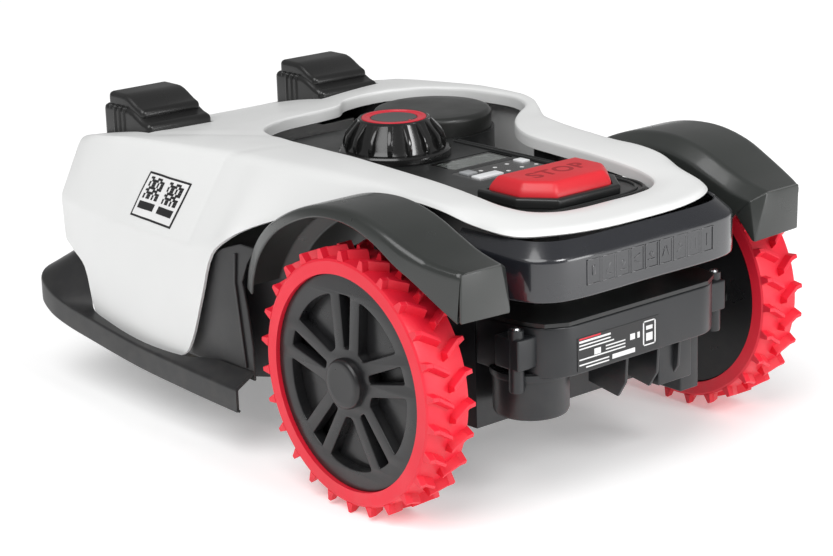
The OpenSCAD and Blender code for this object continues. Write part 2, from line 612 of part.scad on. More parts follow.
// Drive wheels: the hub's pockets, the two rows of lugs, the cap and the shaft.
hub_in = 3;
hub_out = 4;
hub_face = 12;
rim_t = 7;
pocket_depth = 7;
spoke_in = 32;
spoke_out = 84;
pocket_half = 20;
slot_half = 6;
hub_low = wheel_inner_x + hub_in;
hub_high = body_w / 2 - hub_out;
cap_seat = 14;
module at_axle(x) aft() translate([x, axle_y, axle_z]) rotate([90, 0, 90]) children();
module sector(low, high, half, turn) polygon(concat(
    [for (i = [-4:4]) let (a = turn + half * i / 4) low * [cos(a), sin(a)]],
    [for (i = [4:-1:-4]) let (a = turn + half * i / 4) high * [cos(a), sin(a)]]));
module wheel_hub() difference() {
    at_axle(hub_low) cylinder(h = hub_high - hub_low, r = rim_r);
    difference() {
        at_axle(hub_low + 3) cylinder(h = hub_high - hub_low - hub_face - 3, r = rim_r - rim_t);
        at_axle(hub_low) cylinder(h = body_w, r = shaft_r + 14);
    }
    for (i = [0:spoke_count - 1]) {
        at_axle(hub_high - pocket_depth) linear_extrude(20)
            sector(spoke_in, spoke_out, pocket_half, 90 + 36 + i * 360 / spoke_count);
        at_axle(hub_high - hub_face - 1) linear_extrude(30)
            sector(spoke_in, spoke_out, slot_half, 90 + i * 360 / spoke_count);
    }
    at_axle(hub_low - 1) cylinder(h = body_w, r = shaft_r + run_gap);
    at_axle(hub_high - cap_seat) cylinder(h = 40, r = cap_r + gap);
}
lug_top_half = 2.1;
lug_foot_half = 3.2;
tread_r = wheel_r - lug_h;
function polar(r, a) = [r * cos(a), r * sin(a)];
function lugs(turn) = [for (i = [0:lug_count - 1]) let (a = turn - 90 + i * 360 / lug_count)
    each [polar(tread_r, a - lug_foot_half), polar(wheel_r / cos(lug_top_half), a - lug_top_half),
        polar(wheel_r / cos(lug_top_half), a + lug_top_half), polar(tread_r, a + lug_foot_half)]];
module tyre() difference() {
    union() {
        at_axle(wheel_inner_x) linear_extrude(wheel_w / 2) polygon(lugs(180 / lug_count));
        at_axle(wheel_inner_x + wheel_w / 2) linear_extrude(wheel_w / 2) polygon(lugs(0));
    }
    at_axle(wheel_inner_x - 1) cylinder(h = wheel_w + 2, r = rim_r + gap / 2);
}
module hub_cap() {
    at_axle(hub_high - cap_seat) cylinder(h = cap_seat + hub_out + cap_proud - 2, r = cap_r);
    at_axle(body_w / 2 + cap_proud - 2) cylinder(h = 2, r = cap_r - 2);
}
module drive_shaft() at_axle(motor_x + 12) cylinder(h = hub_high - cap_seat - motor_x - 12, r = shaft_r);
module wheel_hub_left() color([0.13, 0.13, 0.13]) wheel_hub();
module wheel_hub_right() color([0.13, 0.13, 0.13]) mirror([1, 0, 0]) wheel_hub();
module tyre_left() color([0.85, 0.1, 0.15]) tyre();
module tyre_right() color([0.85, 0.1, 0.15]) mirror([1, 0, 0]) tyre();
module hub_cap_left() color([0.15, 0.15, 0.15]) hub_cap();
module hub_cap_right() color([0.15, 0.15, 0.15]) mirror([1, 0, 0]) hub_cap();
module drive_shaft_left() color("silver") drive_shaft();
module drive_shaft_right() color("silver") mirror([1, 0, 0]) drive_shaft();

// Front casters.
crown_low = 2 * caster_r + wheel_to_crown;
fork_leg = 4;
leg_half = caster_w / 2 + 2;
module at_caster() translate([caster_x, caster_y + fore_shift, 0]) children();
module caster_fork() at_caster() difference() {
    union() {
        bar([0, 0, crown_low + ride + crown_t - 1], front_floor_z + bush_h - 2 - crown_low - crown_t + 1, stem_r);
        bar([0, 0, crown_low + ride], front_floor_z - 0.5 - crown_low, stem_r + 6);
        block([-leg_half - fork_leg, -14, crown_low + ride],
            [leg_half + fork_leg, caster_trail + 12, crown_low + ride + crown_t]);
        for (s = [-1, 1]) {
            block([min(s * leg_half, s * (leg_half + fork_leg)), caster_trail - 12, caster_r],
                [max(s * leg_half, s * (leg_half + fork_leg)), caster_trail + 12, crown_low + ride + 1]);
            along_x([s * (leg_half + fork_leg / 2) - fork_leg / 2, caster_trail, caster_r], fork_leg, 12);
        }
    }
    along_x([-caster_w, caster_trail, caster_r], 2 * caster_w, pin_r + run_gap);
}
module caster_wheel() at_caster() translate([0, caster_trail, caster_r]) rotate([0, 90, 0]) difference() {
    translate([0, 0, -caster_w / 2]) rotate_extrude() polygon([[0, 0], [caster_r - 8, 0], [caster_r - 2, 5],
        [caster_r, 11], [caster_r, caster_w - 11], [caster_r - 2, caster_w - 5], [caster_r - 8, caster_w],
        [0, caster_w]]);
    translate([0, 0, -caster_w]) cylinder(h = 2 * caster_w, r = pin_r + run_gap);
}
module caster_axle() at_caster()
    along_x([-leg_half - fork_leg - 2, caster_trail, caster_r], 2 * (leg_half + fork_leg + 2), pin_r);
module caster_fork_left() color([0.12, 0.12, 0.12]) caster_fork();
module caster_fork_right() color([0.12, 0.12, 0.12]) mirror([1, 0, 0]) caster_fork();
module caster_wheel_left() color([0.15, 0.15, 0.15]) caster_wheel();
module caster_wheel_right() color([0.15, 0.15, 0.15]) mirror([1, 0, 0]) caster_wheel();
module caster_axle_left() color("silver") caster_axle();
module caster_axle_right() color("silver") mirror([1, 0, 0]) caster_axle();

// Cutting system round the spindle's line.
disc_z = cut_low + blade_t + gap;
motor_low = disc_z + disc_t + 14;
motor_high = well_top + 4;
disc_hub_r = 16;
disc_shaft_r = 5;
tube_top = 190;
tube_low_gap = 6;
blade_count = 3;
module cutter() aft() translate([0, knob_y, -ride]) children();
module lift_carriage() color([0.4, 0.4, 0.42]) cutter() difference() {
    union() {
        bar([0, 0, motor_low], motor_high + wall - motor_low, blade_motor_r + wall);
        bar([0, 0, motor_high], tube_top - motor_high, spindle_r + 6);
    }
    bar([0, 0, motor_low - 1], motor_high - motor_low + 1, blade_motor_r + gap);
    bar([0, 0, motor_high + tube_low_gap], tube_top, spindle_r + run_gap);
}
module blade_motor() color([0.25, 0.25, 0.27]) cutter() difference() {
    bar([0, 0, motor_low], motor_high - motor_low - gap, blade_motor_r);
    bar([0, 0, motor_low - 1], 24, disc_shaft_r + run_gap);
}
module blade_disc() color([0.75, 0.75, 0.75]) cutter() difference() {
    union() {
        bar([0, 0, disc_z], disc_t, disc_r);
        bar([0, 0, disc_z], disc_t + 9, disc_hub_r);
        bar([0, 0, disc_z + disc_t], motor_low + 20 - disc_z - disc_t, disc_shaft_r);
    }
    for (i = [0:blade_count - 1]) rotate([0, 0, 90 + i * 360 / blade_count])
        bar([blade_screw_at, 0, disc_z - 1], disc_t + 2, blade_screw_r + run_gap);
}
module blade(i) color("silver") cutter() rotate([0, 0, 90 + i * 360 / blade_count])
    translate([blade_screw_at, 0, cut_low]) linear_extrude(blade_t) difference() {
        polygon([[-9, -blade_w / 2], [blade_reach - 5, -blade_w / 2], [blade_reach, -blade_w / 2 + 5],
            [blade_reach, blade_w / 2 - 5], [blade_reach - 5, blade_w / 2], [-9, blade_w / 2]]);
        circle(r = blade_screw_r + run_gap);
    }
module blade_1() blade(0);
module blade_2() blade(1);
module blade_3() blade(2);
module blade_screws() color([0.5, 0.5, 0.5]) cutter()
    for (i = [0:blade_count - 1]) rotate([0, 0, 90 + i * 360 / blade_count]) {
        bar([blade_screw_at, 0, cut_low - gap - 2.5], 2.5, blade_screw_r + 2.5);
        bar([blade_screw_at, 0, cut_low - gap - 1], blade_t + disc_t + 2 * gap + 1, blade_screw_r);
    }

chassis_tray();
chassis_lid();
rear_housing();
battery_pack();
battery_door();
main_board();
display_window();
display_module();
keypad_film();
antenna_dome();
antenna_puck();
stop_switch();
gearmotor_left();
gearmotor_right();
charging_contacts();
rating_label();
chassis_screws();
float_posts();
caster_bushes();
top_cover();
bumper();
side_panel_left();
side_panel_right();
fender_left();
fender_right();
tail_band();
sensor_pod_left();
sensor_pod_right();
pod_cap_left();
pod_cap_right();
side_label();
float_sockets();
wheel_hub_left();
wheel_hub_right();
tyre_left();
tyre_right();
hub_cap_left();
hub_cap_right();
drive_shaft_left();
drive_shaft_right();
caster_fork_left();
caster_fork_right();
caster_wheel_left();
caster_wheel_right();
caster_axle_left();
caster_axle_right();
lift_carriage();
blade_motor();
blade_disc();
blade_1();
blade_2();
blade_3();
blade_screws();
height_knob();
knob_ring();
stop_button();
start_key();
ok_key();
mode_key();
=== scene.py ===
"""Robotic lawn mower: the finished look of every piece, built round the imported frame.

Sizes are in metres. Lines that the mouldings follow are in millimetres, as the design keeps them, and MM
turns them to metres.
"""

import json
import logging
import math
from collections.abc import Iterator, Sequence
from contextlib import contextmanager
from dataclasses import dataclass, field
from enum import Enum

import bmesh
import bpy
import numpy as np
from mathutils import Matrix, Vector

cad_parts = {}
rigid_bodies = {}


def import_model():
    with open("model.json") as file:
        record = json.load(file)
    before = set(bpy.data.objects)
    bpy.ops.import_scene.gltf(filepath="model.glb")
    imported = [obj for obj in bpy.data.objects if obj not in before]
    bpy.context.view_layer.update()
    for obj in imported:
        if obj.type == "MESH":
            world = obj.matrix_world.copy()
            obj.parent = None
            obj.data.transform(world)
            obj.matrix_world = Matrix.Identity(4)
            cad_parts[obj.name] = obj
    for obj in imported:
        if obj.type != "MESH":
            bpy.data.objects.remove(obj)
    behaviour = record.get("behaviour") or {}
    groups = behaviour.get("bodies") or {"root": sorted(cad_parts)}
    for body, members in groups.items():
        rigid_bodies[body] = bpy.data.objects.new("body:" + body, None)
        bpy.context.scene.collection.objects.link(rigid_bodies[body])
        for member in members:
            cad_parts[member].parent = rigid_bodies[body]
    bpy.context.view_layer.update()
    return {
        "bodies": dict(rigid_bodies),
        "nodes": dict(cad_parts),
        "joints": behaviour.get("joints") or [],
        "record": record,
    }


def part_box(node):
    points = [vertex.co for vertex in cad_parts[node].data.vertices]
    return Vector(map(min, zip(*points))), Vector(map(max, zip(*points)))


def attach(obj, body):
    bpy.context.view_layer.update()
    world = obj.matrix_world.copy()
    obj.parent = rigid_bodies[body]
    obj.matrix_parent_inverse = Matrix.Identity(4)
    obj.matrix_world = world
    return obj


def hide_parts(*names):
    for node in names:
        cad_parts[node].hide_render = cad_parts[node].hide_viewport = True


LOG = logging.getLogger("mower")
MM = 0.001
Line = Sequence[Sequence[float]]
Rgb = tuple[float, float, float]
Point = tuple[float, float, float]
Piece = bpy.types.Object
Tree = bpy.types.NodeTree
Socket = bpy.types.NodeSocket
FLOW_SCALE, SPECKLE_SCALE, GLOSS_SCALE, CLOUD_SCALE = 9.0, 60.0, 24.0, 40.0
DUST_TOP = 0.16
SHARP_TEXT = 0.00002


class Side(Enum):
    """The two sides of the machine, seen from the tail: left is +X."""

    LEFT = 1
    RIGHT = -1

    @property
    def word(self) -> str:
        """The side's name as the frame spells it."""
        return self.name.lower()


# --------------------------------------------------------------------------------------------------- finishes


def group(name: str, inputs: dict[str, object]) -> tuple[Tree, bool]:
    """Finds a shader node group, or makes it with its sockets.

    Args:
        name: the group's name.
        inputs: each input's name and its value; the value's kind gives the socket's kind.

    Returns:
        The group, and True when it is new and still has to be wired.
    """
    tree = bpy.data.node_groups.get(name)
    if tree:
        return tree, False
    tree = bpy.data.node_groups.new(name, "ShaderNodeTree")
    for label, value in inputs.items():
        kind = "NodeSocketColor" if isinstance(value, tuple) else "NodeSocketFloat"
        socket = tree.interface.new_socket(label, in_out="INPUT", socket_type=kind)
        socket.default_value = (*value, 1.0) if isinstance(value, tuple) else value
    for label, kind in (("Colour", "Color"), ("Roughness", "Float"), ("Height", "Float")):
        tree.interface.new_socket(label, in_out="OUTPUT", socket_type="NodeSocket" + kind)
    return tree, True


def feed(tree: Tree, node: bpy.types.Node, values: dict[str | int, object]) -> None:
    """Gives a node's inputs their values, and wires those that come as sockets.

    Args:
        tree: the node's tree.
        node: the node.
        values: a value or a socket for each input, by name or number.
    """
    for key, value in values.items():
        if isinstance(value, Socket):
            tree.links.new(value, node.inputs[key])
        else:
            node.inputs[key].default_value = value


def add(tree: Tree, kind: str, values: dict[str | int, object] | None = None,
        **settings: object) -> bpy.types.Node:
    """Adds a node.

    Args:
        tree: the tree it goes in.
        kind: the node's type after "ShaderNode".
        values: a value or a socket for each input that needs one.
        **settings: values for its own properties.

    Returns:
        The node.
    """
    node = tree.nodes.new("ShaderNode" + kind)
    for key, value in settings.items():
        setattr(node, key, value)
    feed(tree, node, values or {})
    return node


def noise(tree: Tree, vector: Socket, scale: float | Socket, detail: float) -> Socket:
    """Adds a noise texture and returns its value."""
    return add(tree, "TexNoise", {"Vector": vector, "Scale": scale, "Detail": detail}).outputs["Fac"]


def ranged(tree: Tree, value: Socket, low: float | Socket = 0.0, high: float | Socket = 1.0,
           start: float = 0.3, stop: float = 0.7) -> Socket:
    """Adds a Map Range from start and stop to low and high, and returns its result."""
    ends = {"From Min": start, "From Max": stop, "To Min": low, "To Max": high}
    return add(tree, "MapRange", {"Value": value, **ends}).outputs["Result"]


def blended(tree: Tree, mask: Socket, first: Socket, second: Socket) -> Socket:
    """Adds a mix of two colours by a mask and returns its result."""
    return add(tree, "Mix", {0: mask, 6: first, 7: second}, data_type="RGBA").outputs[2]


def combined(tree: Tree, operation: str, first: Socket, second: Socket) -> Socket:
    """Adds a Math node of two values and returns its result."""
    return add(tree, "Math", {0: first, 1: second}, operation=operation).outputs[0]


def moulded_surface() -> Tree:
    """The effect of injection moulding: flow marks, uneven gloss, fine spark grain and dust near the ground.

    Returns:
        The shared group, with Colour, Roughness and Height.
    """
    tree, new = group("moulded_surface", {
        "Colour": (0.5, 0.5, 0.5), "Flow": (0.45, 0.45, 0.45), "Dust": (0.3, 0.27, 0.22), "Dusty": 0.0,
        "Smooth": 0.3, "Rough": 0.45, "Grain": 900.0})
    if not new:
        return tree
    inside = tree.nodes.new("NodeGroupInput").outputs
    place = add(tree, "TexCoord").outputs["Object"]
    flow = ranged(tree, noise(tree, place, FLOW_SCALE, 2.0))
    body = blended(tree, flow, inside["Colour"], inside["Flow"])
    height = add(tree, "SeparateXYZ", {0: place}).outputs["Z"]
    low_down = ranged(tree, height, 1.0, 0.0, 0.0, DUST_TOP)
    speckle = ranged(tree, noise(tree, place, SPECKLE_SCALE, 5.0), 0.0, 1.0, 0.42, 0.68)
    dusty = combined(tree, "MULTIPLY", low_down, speckle)
    amount = combined(tree, "MULTIPLY", dusty, inside["Dusty"])
    cells = add(tree, "TexVoronoi", {"Vector": place, "Scale": inside["Grain"]}, feature="SMOOTH_F1")
    feed(tree, tree.nodes.new("NodeGroupOutput"), {
        "Colour": blended(tree, amount, body, inside["Dust"]),
        "Roughness": ranged(tree, noise(tree, place, GLOSS_SCALE, 4.0), inside["Smooth"], inside["Rough"]),
        "Height": combined(tree, "ADD", cells.outputs["Distance"], noise(tree, place, inside["Grain"], 2.0))})
    return tree


def machined_surface() -> Tree:
    """The effect of turning and grinding: fine lines, and a cloudy change of gloss and tone.

    Returns:
        The shared group, with Colour, Roughness and Height.
    """
    tree, new = group("machined_surface", {
        "Colour": (0.6, 0.6, 0.6), "Dark": (0.45, 0.45, 0.45), "Smooth": 0.2, "Rough": 0.4, "Lines": 500.0})
    if not new:
        return tree
    inside = tree.nodes.new("NodeGroupInput").outputs
    place = add(tree, "TexCoord").outputs["Object"]
    lines = add(tree, "TexWave",
                {"Distortion": 2.0, "Detail": 2.0, "Vector": place, "Scale": inside["Lines"]},
                wave_type="RINGS", rings_direction="Z")
    cloud = ranged(tree, noise(tree, place, CLOUD_SCALE, 4.0))
    feed(tree, tree.nodes.new("NodeGroupOutput"), {
        "Colour": blended(tree, cloud, inside["Colour"], inside["Dark"]),
        "Roughness": ranged(tree, cloud, inside["Smooth"], inside["Rough"], 0.0, 1.0),
        "Height": lines.outputs["Fac"]})
    return tree


@dataclass(frozen=True)
class Finish:
    """A surface: what it is called and how its Principled shader is set."""

    name: str
    colour: Rgb
    flow: Rgb | None = None
    smooth: float = 0.35
    rough: float = 0.48
    grain: float = 1400.0
    depth: float = 0.00002
    dusty: float = 0.0
    coat: float = 0.0
    metal: float = 0.0
    specular: float = 0.5
    coat_rough: float = 0.08

    def second(self) -> Rgb:
        """The colour that the first drifts to."""
        return self.flow or tuple(0.88 * c for c in self.colour)

    def effect(self) -> tuple[Tree, dict[str, object]]:
        """The effect group, and the values that this finish gives it."""
        values = {"Colour": (*self.colour, 1), "Smooth": self.smooth, "Rough": self.rough}
        second = (*self.second(), 1)
        if self.metal:
            return machined_surface(), {**values, "Dark": second, "Lines": self.grain}
        return moulded_surface(), {**values, "Flow": second, "Dusty": self.dusty, "Grain": self.grain}

    def material(self) -> bpy.types.Material:
        """Builds the material once and returns it."""
        title = f"{self.name}_finish"
        made = bpy.data.materials.get(title)
        if made:
            return made
        made = bpy.data.materials.new(title)
        made.use_nodes = True
        tree = made.node_tree
        effect, values = self.effect()
        surface = add(tree, "Group", values, node_tree=effect).outputs
        bump = add(tree, "Bump", {"Strength": 1.0, "Distance": self.depth, "Height": surface["Height"]})
        feed(tree, tree.nodes["Principled BSDF"], {
            "Metallic": self.metal, "Coat Weight": self.coat, "Coat Roughness": self.coat_rough,
            "Specular IOR Level": self.specular, "Base Color": surface["Colour"],
            "Roughness": surface["Roughness"], "Normal": bump.outputs["Normal"]})
        made.diffuse_color = (*self.colour, 1)
        return made


@dataclass(frozen=True)
class Pane(Finish):
    """A clear pane with a faint smear in its gloss."""

    see_through: float = 1.0
    index: float = 1.46

    def material(self) -> bpy.types.Material:
        """Builds the glass once and returns it."""
        fresh = bpy.data.materials.get(f"{self.name}_finish") is None
        made = super().material()
        if fresh:
            feed(made.node_tree, made.node_tree.nodes["Principled BSDF"],
                 {"Transmission Weight": self.see_through, "IOR": self.index})
        return made


WHITE_COVER = Finish("white_cover", (0.74, 0.745, 0.74), (0.715, 0.72, 0.715), 0.30, 0.40, 1600.0, 0.000006)
FENDER_GREY = Finish("fender_grey", (0.020, 0.022, 0.0205), (0.027, 0.030, 0.028), 0.27, 0.35, 1100.0,
                     0.00002, coat=0.25)
TRIM_BLACK = Finish("trim_black", (0.014, 0.014, 0.015), None, 0.34, 0.44, 1100.0, 0.00003, 0.06)
BAND_BLACK = Finish("band_black", (0.013, 0.014, 0.018), None, 0.20, 0.28, 1300.0, 0.00001, coat=0.8)
CHASSIS_BLACK = Finish("chassis_black", (0.011, 0.012, 0.014), None, 0.30, 0.42, 900.0, 0.00003, 0.06)
DECK_BLACK = Finish("deck_black", (0.014, 0.015, 0.015), None, 0.28, 0.38, 1300.0, 0.00002)
HUB_BLACK = Finish("hub_black", (0.012, 0.012, 0.013), None, 0.26, 0.36, 1000.0, 0.00002, 0.03)
POD_BLACK = Finish("pod_black", (0.012, 0.012, 0.012), None, 0.26, 0.36, 1200.0, 0.00002)
TYRE_RED = Finish("tyre_red", (0.80, 0.012, 0.036), (0.72, 0.010, 0.030), 0.40, 0.52, 700.0, 0.00006, 0.06)
BUTTON_RED = Finish("button_red", (0.66, 0.020, 0.030), (0.60, 0.016, 0.026), 0.32, 0.42, 1500.0, 0.00001)
# Darker red for the floor of the stop button's sunk letters: painted shade of the recess.
STOP_PAINTED_SHADE = Finish("stop_shade", (0.36, 0.006, 0.012), None, 0.45, 0.55, 1500.0, 0.00001)
RING_RED = Finish("ring_red", (0.62, 0.015, 0.035), None, 0.25, 0.35, 1500.0, 0.00001)
KNOB_BLACK = Finish("knob_black", (0.009, 0.009, 0.009), None, 0.14, 0.22, 1300.0, 0.00001, coat=0.3)
DOME_GREY = Finish("dome_grey", (0.017, 0.018, 0.017), None, 0.28, 0.38, 1200.0, 0.00002)
KEY_WHITE = Finish("key_white", (0.78, 0.79, 0.80), None, 0.35, 0.45, 1500.0, 0.00001)
KEY_GREY = Finish("key_grey", (0.34, 0.35, 0.36), None, 0.35, 0.45, 1500.0, 0.00001)
PRINT_WHITE = Finish("print_white", (0.80, 0.80, 0.80), None, 0.40, 0.50, 2000.0, 0.000004)
PRINT_BLACK = Finish("print_black", (0.012, 0.012, 0.013), None, 0.40, 0.50, 2000.0, 0.000004)
LCD_GREY = Finish("lcd_grey", (0.33, 0.35, 0.33), (0.29, 0.31, 0.29), 0.25, 0.35, 1800.0, 0.000004)
STEEL = Finish("steel", (0.62, 0.63, 0.64), (0.50, 0.51, 0.52), 0.22, 0.36, 420.0, 0.00001, metal=1.0)
DARK_STEEL = Finish("dark_steel", (0.26, 0.26, 0.27), (0.20, 0.20, 0.21), 0.32, 0.48, 300.0, 0.00001,
                    metal=1.0)
BRASS = Finish("brass", (0.72, 0.50, 0.20), (0.58, 0.38, 0.14), 0.24, 0.38, 380.0, 0.00001, metal=1.0)
BOARD_GREEN = Finish("board_green", (0.012, 0.10, 0.035), (0.02, 0.16, 0.055), 0.30, 0.42, 420.0, 0.00005)
CERAMIC = Finish("ceramic", (0.58, 0.54, 0.46), None, 0.45, 0.60, 800.0, 0.00003)
PACK_BLUE = Finish("pack_blue", (0.03, 0.045, 0.07), None, 0.35, 0.5, 900.0, 0.00003)
RUBBER = Finish("rubber", (0.016, 0.016, 0.017), None, 0.55, 0.72, 600.0, 0.00006, 0.3)
WINDOW = Pane("window", (0.86, 0.88, 0.87), None, 0.04, 0.10, 1500.0, 0.000002)


# -------------------------------------------------------------------------------------------------- the bench


def deselect() -> None:
    """Leaves edit mode and lets go of everything."""
    if bpy.context.object and bpy.context.object.mode != "OBJECT":
        bpy.ops.object.mode_set(mode="OBJECT")
    bpy.ops.object.select_all(action="DESELECT")


def hold(obj: Piece) -> None:
    """Selects one object alone and makes it active."""
    deselect()
    obj.select_set(True)
    bpy.context.view_layer.objects.active = obj


def settle(obj: Piece) -> Piece:
    """Applies an object's place, turn and scale to its mesh.

    Args:
        obj: the object.

    Returns:
        The same object.
    """
    hold(obj)
    bpy.ops.object.transform_apply(location=True, rotation=True, scale=True)
    return obj


def bake(obj: Piece) -> Piece:
    """Applies every modifier in order.

    Args:
        obj: the object.

    Returns:
        The same object.
    """
    hold(obj)
    for name in [m.name for m in obj.modifiers]:
        bpy.ops.object.modifier_apply(modifier=name)
    return obj


@contextmanager
def editing(obj: Piece) -> Iterator[None]:
    """Opens one object in edit mode with everything selected, and closes it again.

    Args:
        obj: the object.
    """
    hold(obj)
    bpy.ops.object.mode_set(mode="EDIT")
    bpy.ops.mesh.select_all(action="SELECT")
    yield
    bpy.ops.object.mode_set(mode="OBJECT")


def mend(obj: Piece, reach: float = 0.00001) -> Piece:
    """Merges doubled points and turns every face outwards.

    Args:
        obj: the object.
        reach: how close two points have to be to merge.

    Returns:
        The same object.
    """
    with editing(obj):
        bpy.ops.mesh.remove_doubles(threshold=reach)
        bpy.ops.mesh.normals_make_consistent(inside=False)
    return obj


def rounded_edges(obj: Piece, width: float, steps: int = 3, angle: float = 30.0) -> Piece:
    """Rounds every edge sharper than an angle with an applied Bevel.

    Args:
        obj: the object.
        width: how wide the rounding is.
        steps: faces across it.
        angle: edges sharper than this are rounded, in degrees.

    Returns:
        The same object.
    """
    if width <= 0:
        return obj
    bevel = obj.modifiers.new("edges", "BEVEL")
    bevel.width = width
    bevel.segments = steps
    bevel.limit_method = "ANGLE"
    bevel.angle_limit = math.radians(angle)
    bevel.use_clamp_overlap = True
    return bake(obj)


def placed(name: str, data: bpy.types.ID) -> Piece:
    """Puts a mesh, a curve or a light into a new object of the scene and returns it."""
    obj = bpy.data.objects.new(name, data)
    bpy.context.scene.collection.objects.link(obj)
    return obj


def raw(name: str, points: Line, faces: Sequence[Sequence[int]],
        edges: Sequence[tuple[int, int]] = ()) -> Piece:
    """Puts points and faces, or points and edges, into a new object.

    Args:
        name: the object's name.
        points: the points.
        faces: the point numbers of each face.
        edges: the point numbers of each loose edge.

    Returns:
        The object.
    """
    mesh = bpy.data.meshes.new(name)
    mesh.from_pydata([tuple(p) for p in points], list(edges), [tuple(f) for f in faces])
    mesh.update()
    return placed(name, mesh)


def joined(objects: Sequence[Piece]) -> Piece:
    """Joins objects into the first.

    Args:
        objects: the objects.

    Returns:
        The first, which now holds them all.
    """
    hold(objects[0])
    for obj in objects:
        obj.select_set(True)
    if len(objects) > 1:
        bpy.ops.object.join()
    return bpy.context.view_layer.objects.active


def copied(obj: Piece, matrix: Matrix | None = None) -> Piece:
    """Copies an object with a mesh of its own, moved by a matrix.

    Args:
        obj: the object.
        matrix: how the copy is moved, or nothing.

    Returns:
        The copy.
    """
    twin = obj.copy()
    twin.data = obj.data.copy()
    bpy.context.scene.collection.objects.link(twin)
    if matrix is not None:
        twin.data.transform(matrix)
    return twin


def mirrored(obj: Piece) -> Piece:
    """The twin of an object on the other side of the machine, with its faces turned outwards again."""
    twin = copied(obj, Matrix.Diagonal((-1, 1, 1, 1)))
    twin.data.flip_normals()
    return twin


def cut(obj: Piece, *tools: Piece) -> Piece:
    """Cuts tools out of an object and removes them.

    Args:
        obj: the object.
        *tools: the solids that are cut out of it.

    Returns:
        The same object.
    """
    for tool in tools:
        boolean = obj.modifiers.new("cut", "BOOLEAN")
        boolean.operation = "DIFFERENCE"
        boolean.solver = "EXACT"
        boolean.object = tool
        bake(obj)
        bpy.data.objects.remove(tool)
    return obj


def thickened(obj: Piece, wall: float) -> Piece:
    """Gives a skin a wall that grows inwards.

    Args:
        obj: the skin.
        wall: how thick it gets.

    Returns:
        The same object.
    """
    solid = obj.modifiers.new("wall", "SOLIDIFY")
    solid.thickness = wall
    solid.offset = -1
    solid.use_even_offset = False
    return bake(obj)


def block(name: str, low: Sequence[float], high: Sequence[float], corner: float = 0.0, edge: float = 0.0,
          steps: int = 3) -> Piece:
    """A moulded block with rounded upright corners and rounded rims.

    Args:
        name: the object's name.
        low: its lowest corner.
        high: its highest corner.
        corner: radius of the upright corners.
        edge: radius of the rims.
        steps: faces across a rim's rounding.

    Returns:
        The block.
    """
    deselect()
    low, high = Vector(low), Vector(high)
    bpy.ops.mesh.primitive_cube_add(size=1, location=(low + high) / 2)
    obj = bpy.context.object
    obj.name = name
    obj.scale = high - low
    settle(obj)
    if corner > 0:
        with editing(obj):
            work = bmesh.from_edit_mesh(obj.data)
            bpy.ops.mesh.select_all(action="DESELECT")
            for e in work.edges:
                run = e.verts[0].co - e.verts[1].co
                e.select_set(abs(run.z) > abs(run.x) + abs(run.y))
            bmesh.update_edit_mesh(obj.data)
            bpy.ops.mesh.bevel(offset=corner, segments=8, affect="EDGES")
    return rounded_edges(obj, edge, steps, 40.0)


def prism(name: str, outline: Line, low: float, high: float, edge: float = 0.0, steps: int = 3,
          plane: str = "XY") -> Piece:
    """An outline drawn out into a solid.

    Args:
        name: the object's name.
        outline: the points of the outline.
        low: where the solid starts along the third axis.
        high: where it ends.
        edge: radius of its edges.
        steps: faces across an edge's rounding.
        plane: the outline's own plane, XY or YZ or XZ.

    Returns:
        The solid.
    """
    order = {"XY": (0, 1, 2), "YZ": (1, 2, 0), "XZ": (0, 2, 1)}[plane]
    points = []
    for p in outline:
        spot = [0.0, 0.0, 0.0]
        spot[order[0]], spot[order[1]], spot[order[2]] = p[0], p[1], low
        points.append(spot)
    obj = raw(name, points, [range(len(points))])
    rise = [0.0, 0.0, 0.0]
    rise[order[2]] = high - low
    with editing(obj):
        bpy.ops.mesh.extrude_region_move(TRANSFORM_OT_translate={"value": rise})
    return rounded_edges(mend(obj), edge, steps)


def turned(name: str, profile: Line, centre: Sequence[float], axis: str = "Z", steps: int = 96) -> Piece:
    """A profile spun round an axis.

    Args:
        name: the object's name.
        profile: radius and height of each point, from the foot up.
        centre: where the profile's origin goes.
        axis: Z, or X for a wheel.
        steps: faces round the axis.

    Returns:
        The turned solid.
    """
    points = [(r, 0.0, h) for r, h in profile]
    closed = profile[0][0] > 0 and profile[-1][0] > 0
    chain = [(i, i + 1) for i in range(len(points) - 1)] + ([(len(points) - 1, 0)] if closed else [])
    obj = raw(name, points, [], chain)
    with editing(obj):
        bpy.ops.mesh.spin(steps=steps, angle=2 * math.pi, center=(0, 0, 0), axis=(0, 0, 1))
    mend(obj)
    if axis == "X":
        obj.rotation_euler = (0, math.pi / 2, 0)
    obj.location = centre
    return settle(obj)


def bent(profile: Line, radii: Sequence[float], steps: int = 4) -> list[Vector]:
    """Rounds the inner corners of a profile.

    Args:
        profile: its points.
        radii: how far each inner corner's rounding reaches along its sides.
        steps: stretches across a rounding.

    Returns:
        The rounded profile.
    """
    points = [Vector(p) for p in profile]
    made = [points[0]]
    for before, here, after, reach in zip(points, points[1:], points[2:], radii):
        back, on = before - here, after - here
        first = here + back.normalized() * min(reach, 0.46 * back.length)
        last = here + on.normalized() * min(reach, 0.46 * on.length)
        for i in range(steps + 1):
            t = i / steps
            made.append(first * (1 - t) ** 2 + here * 2 * t * (1 - t) + last * t * t)
    made.append(points[-1])
    return made


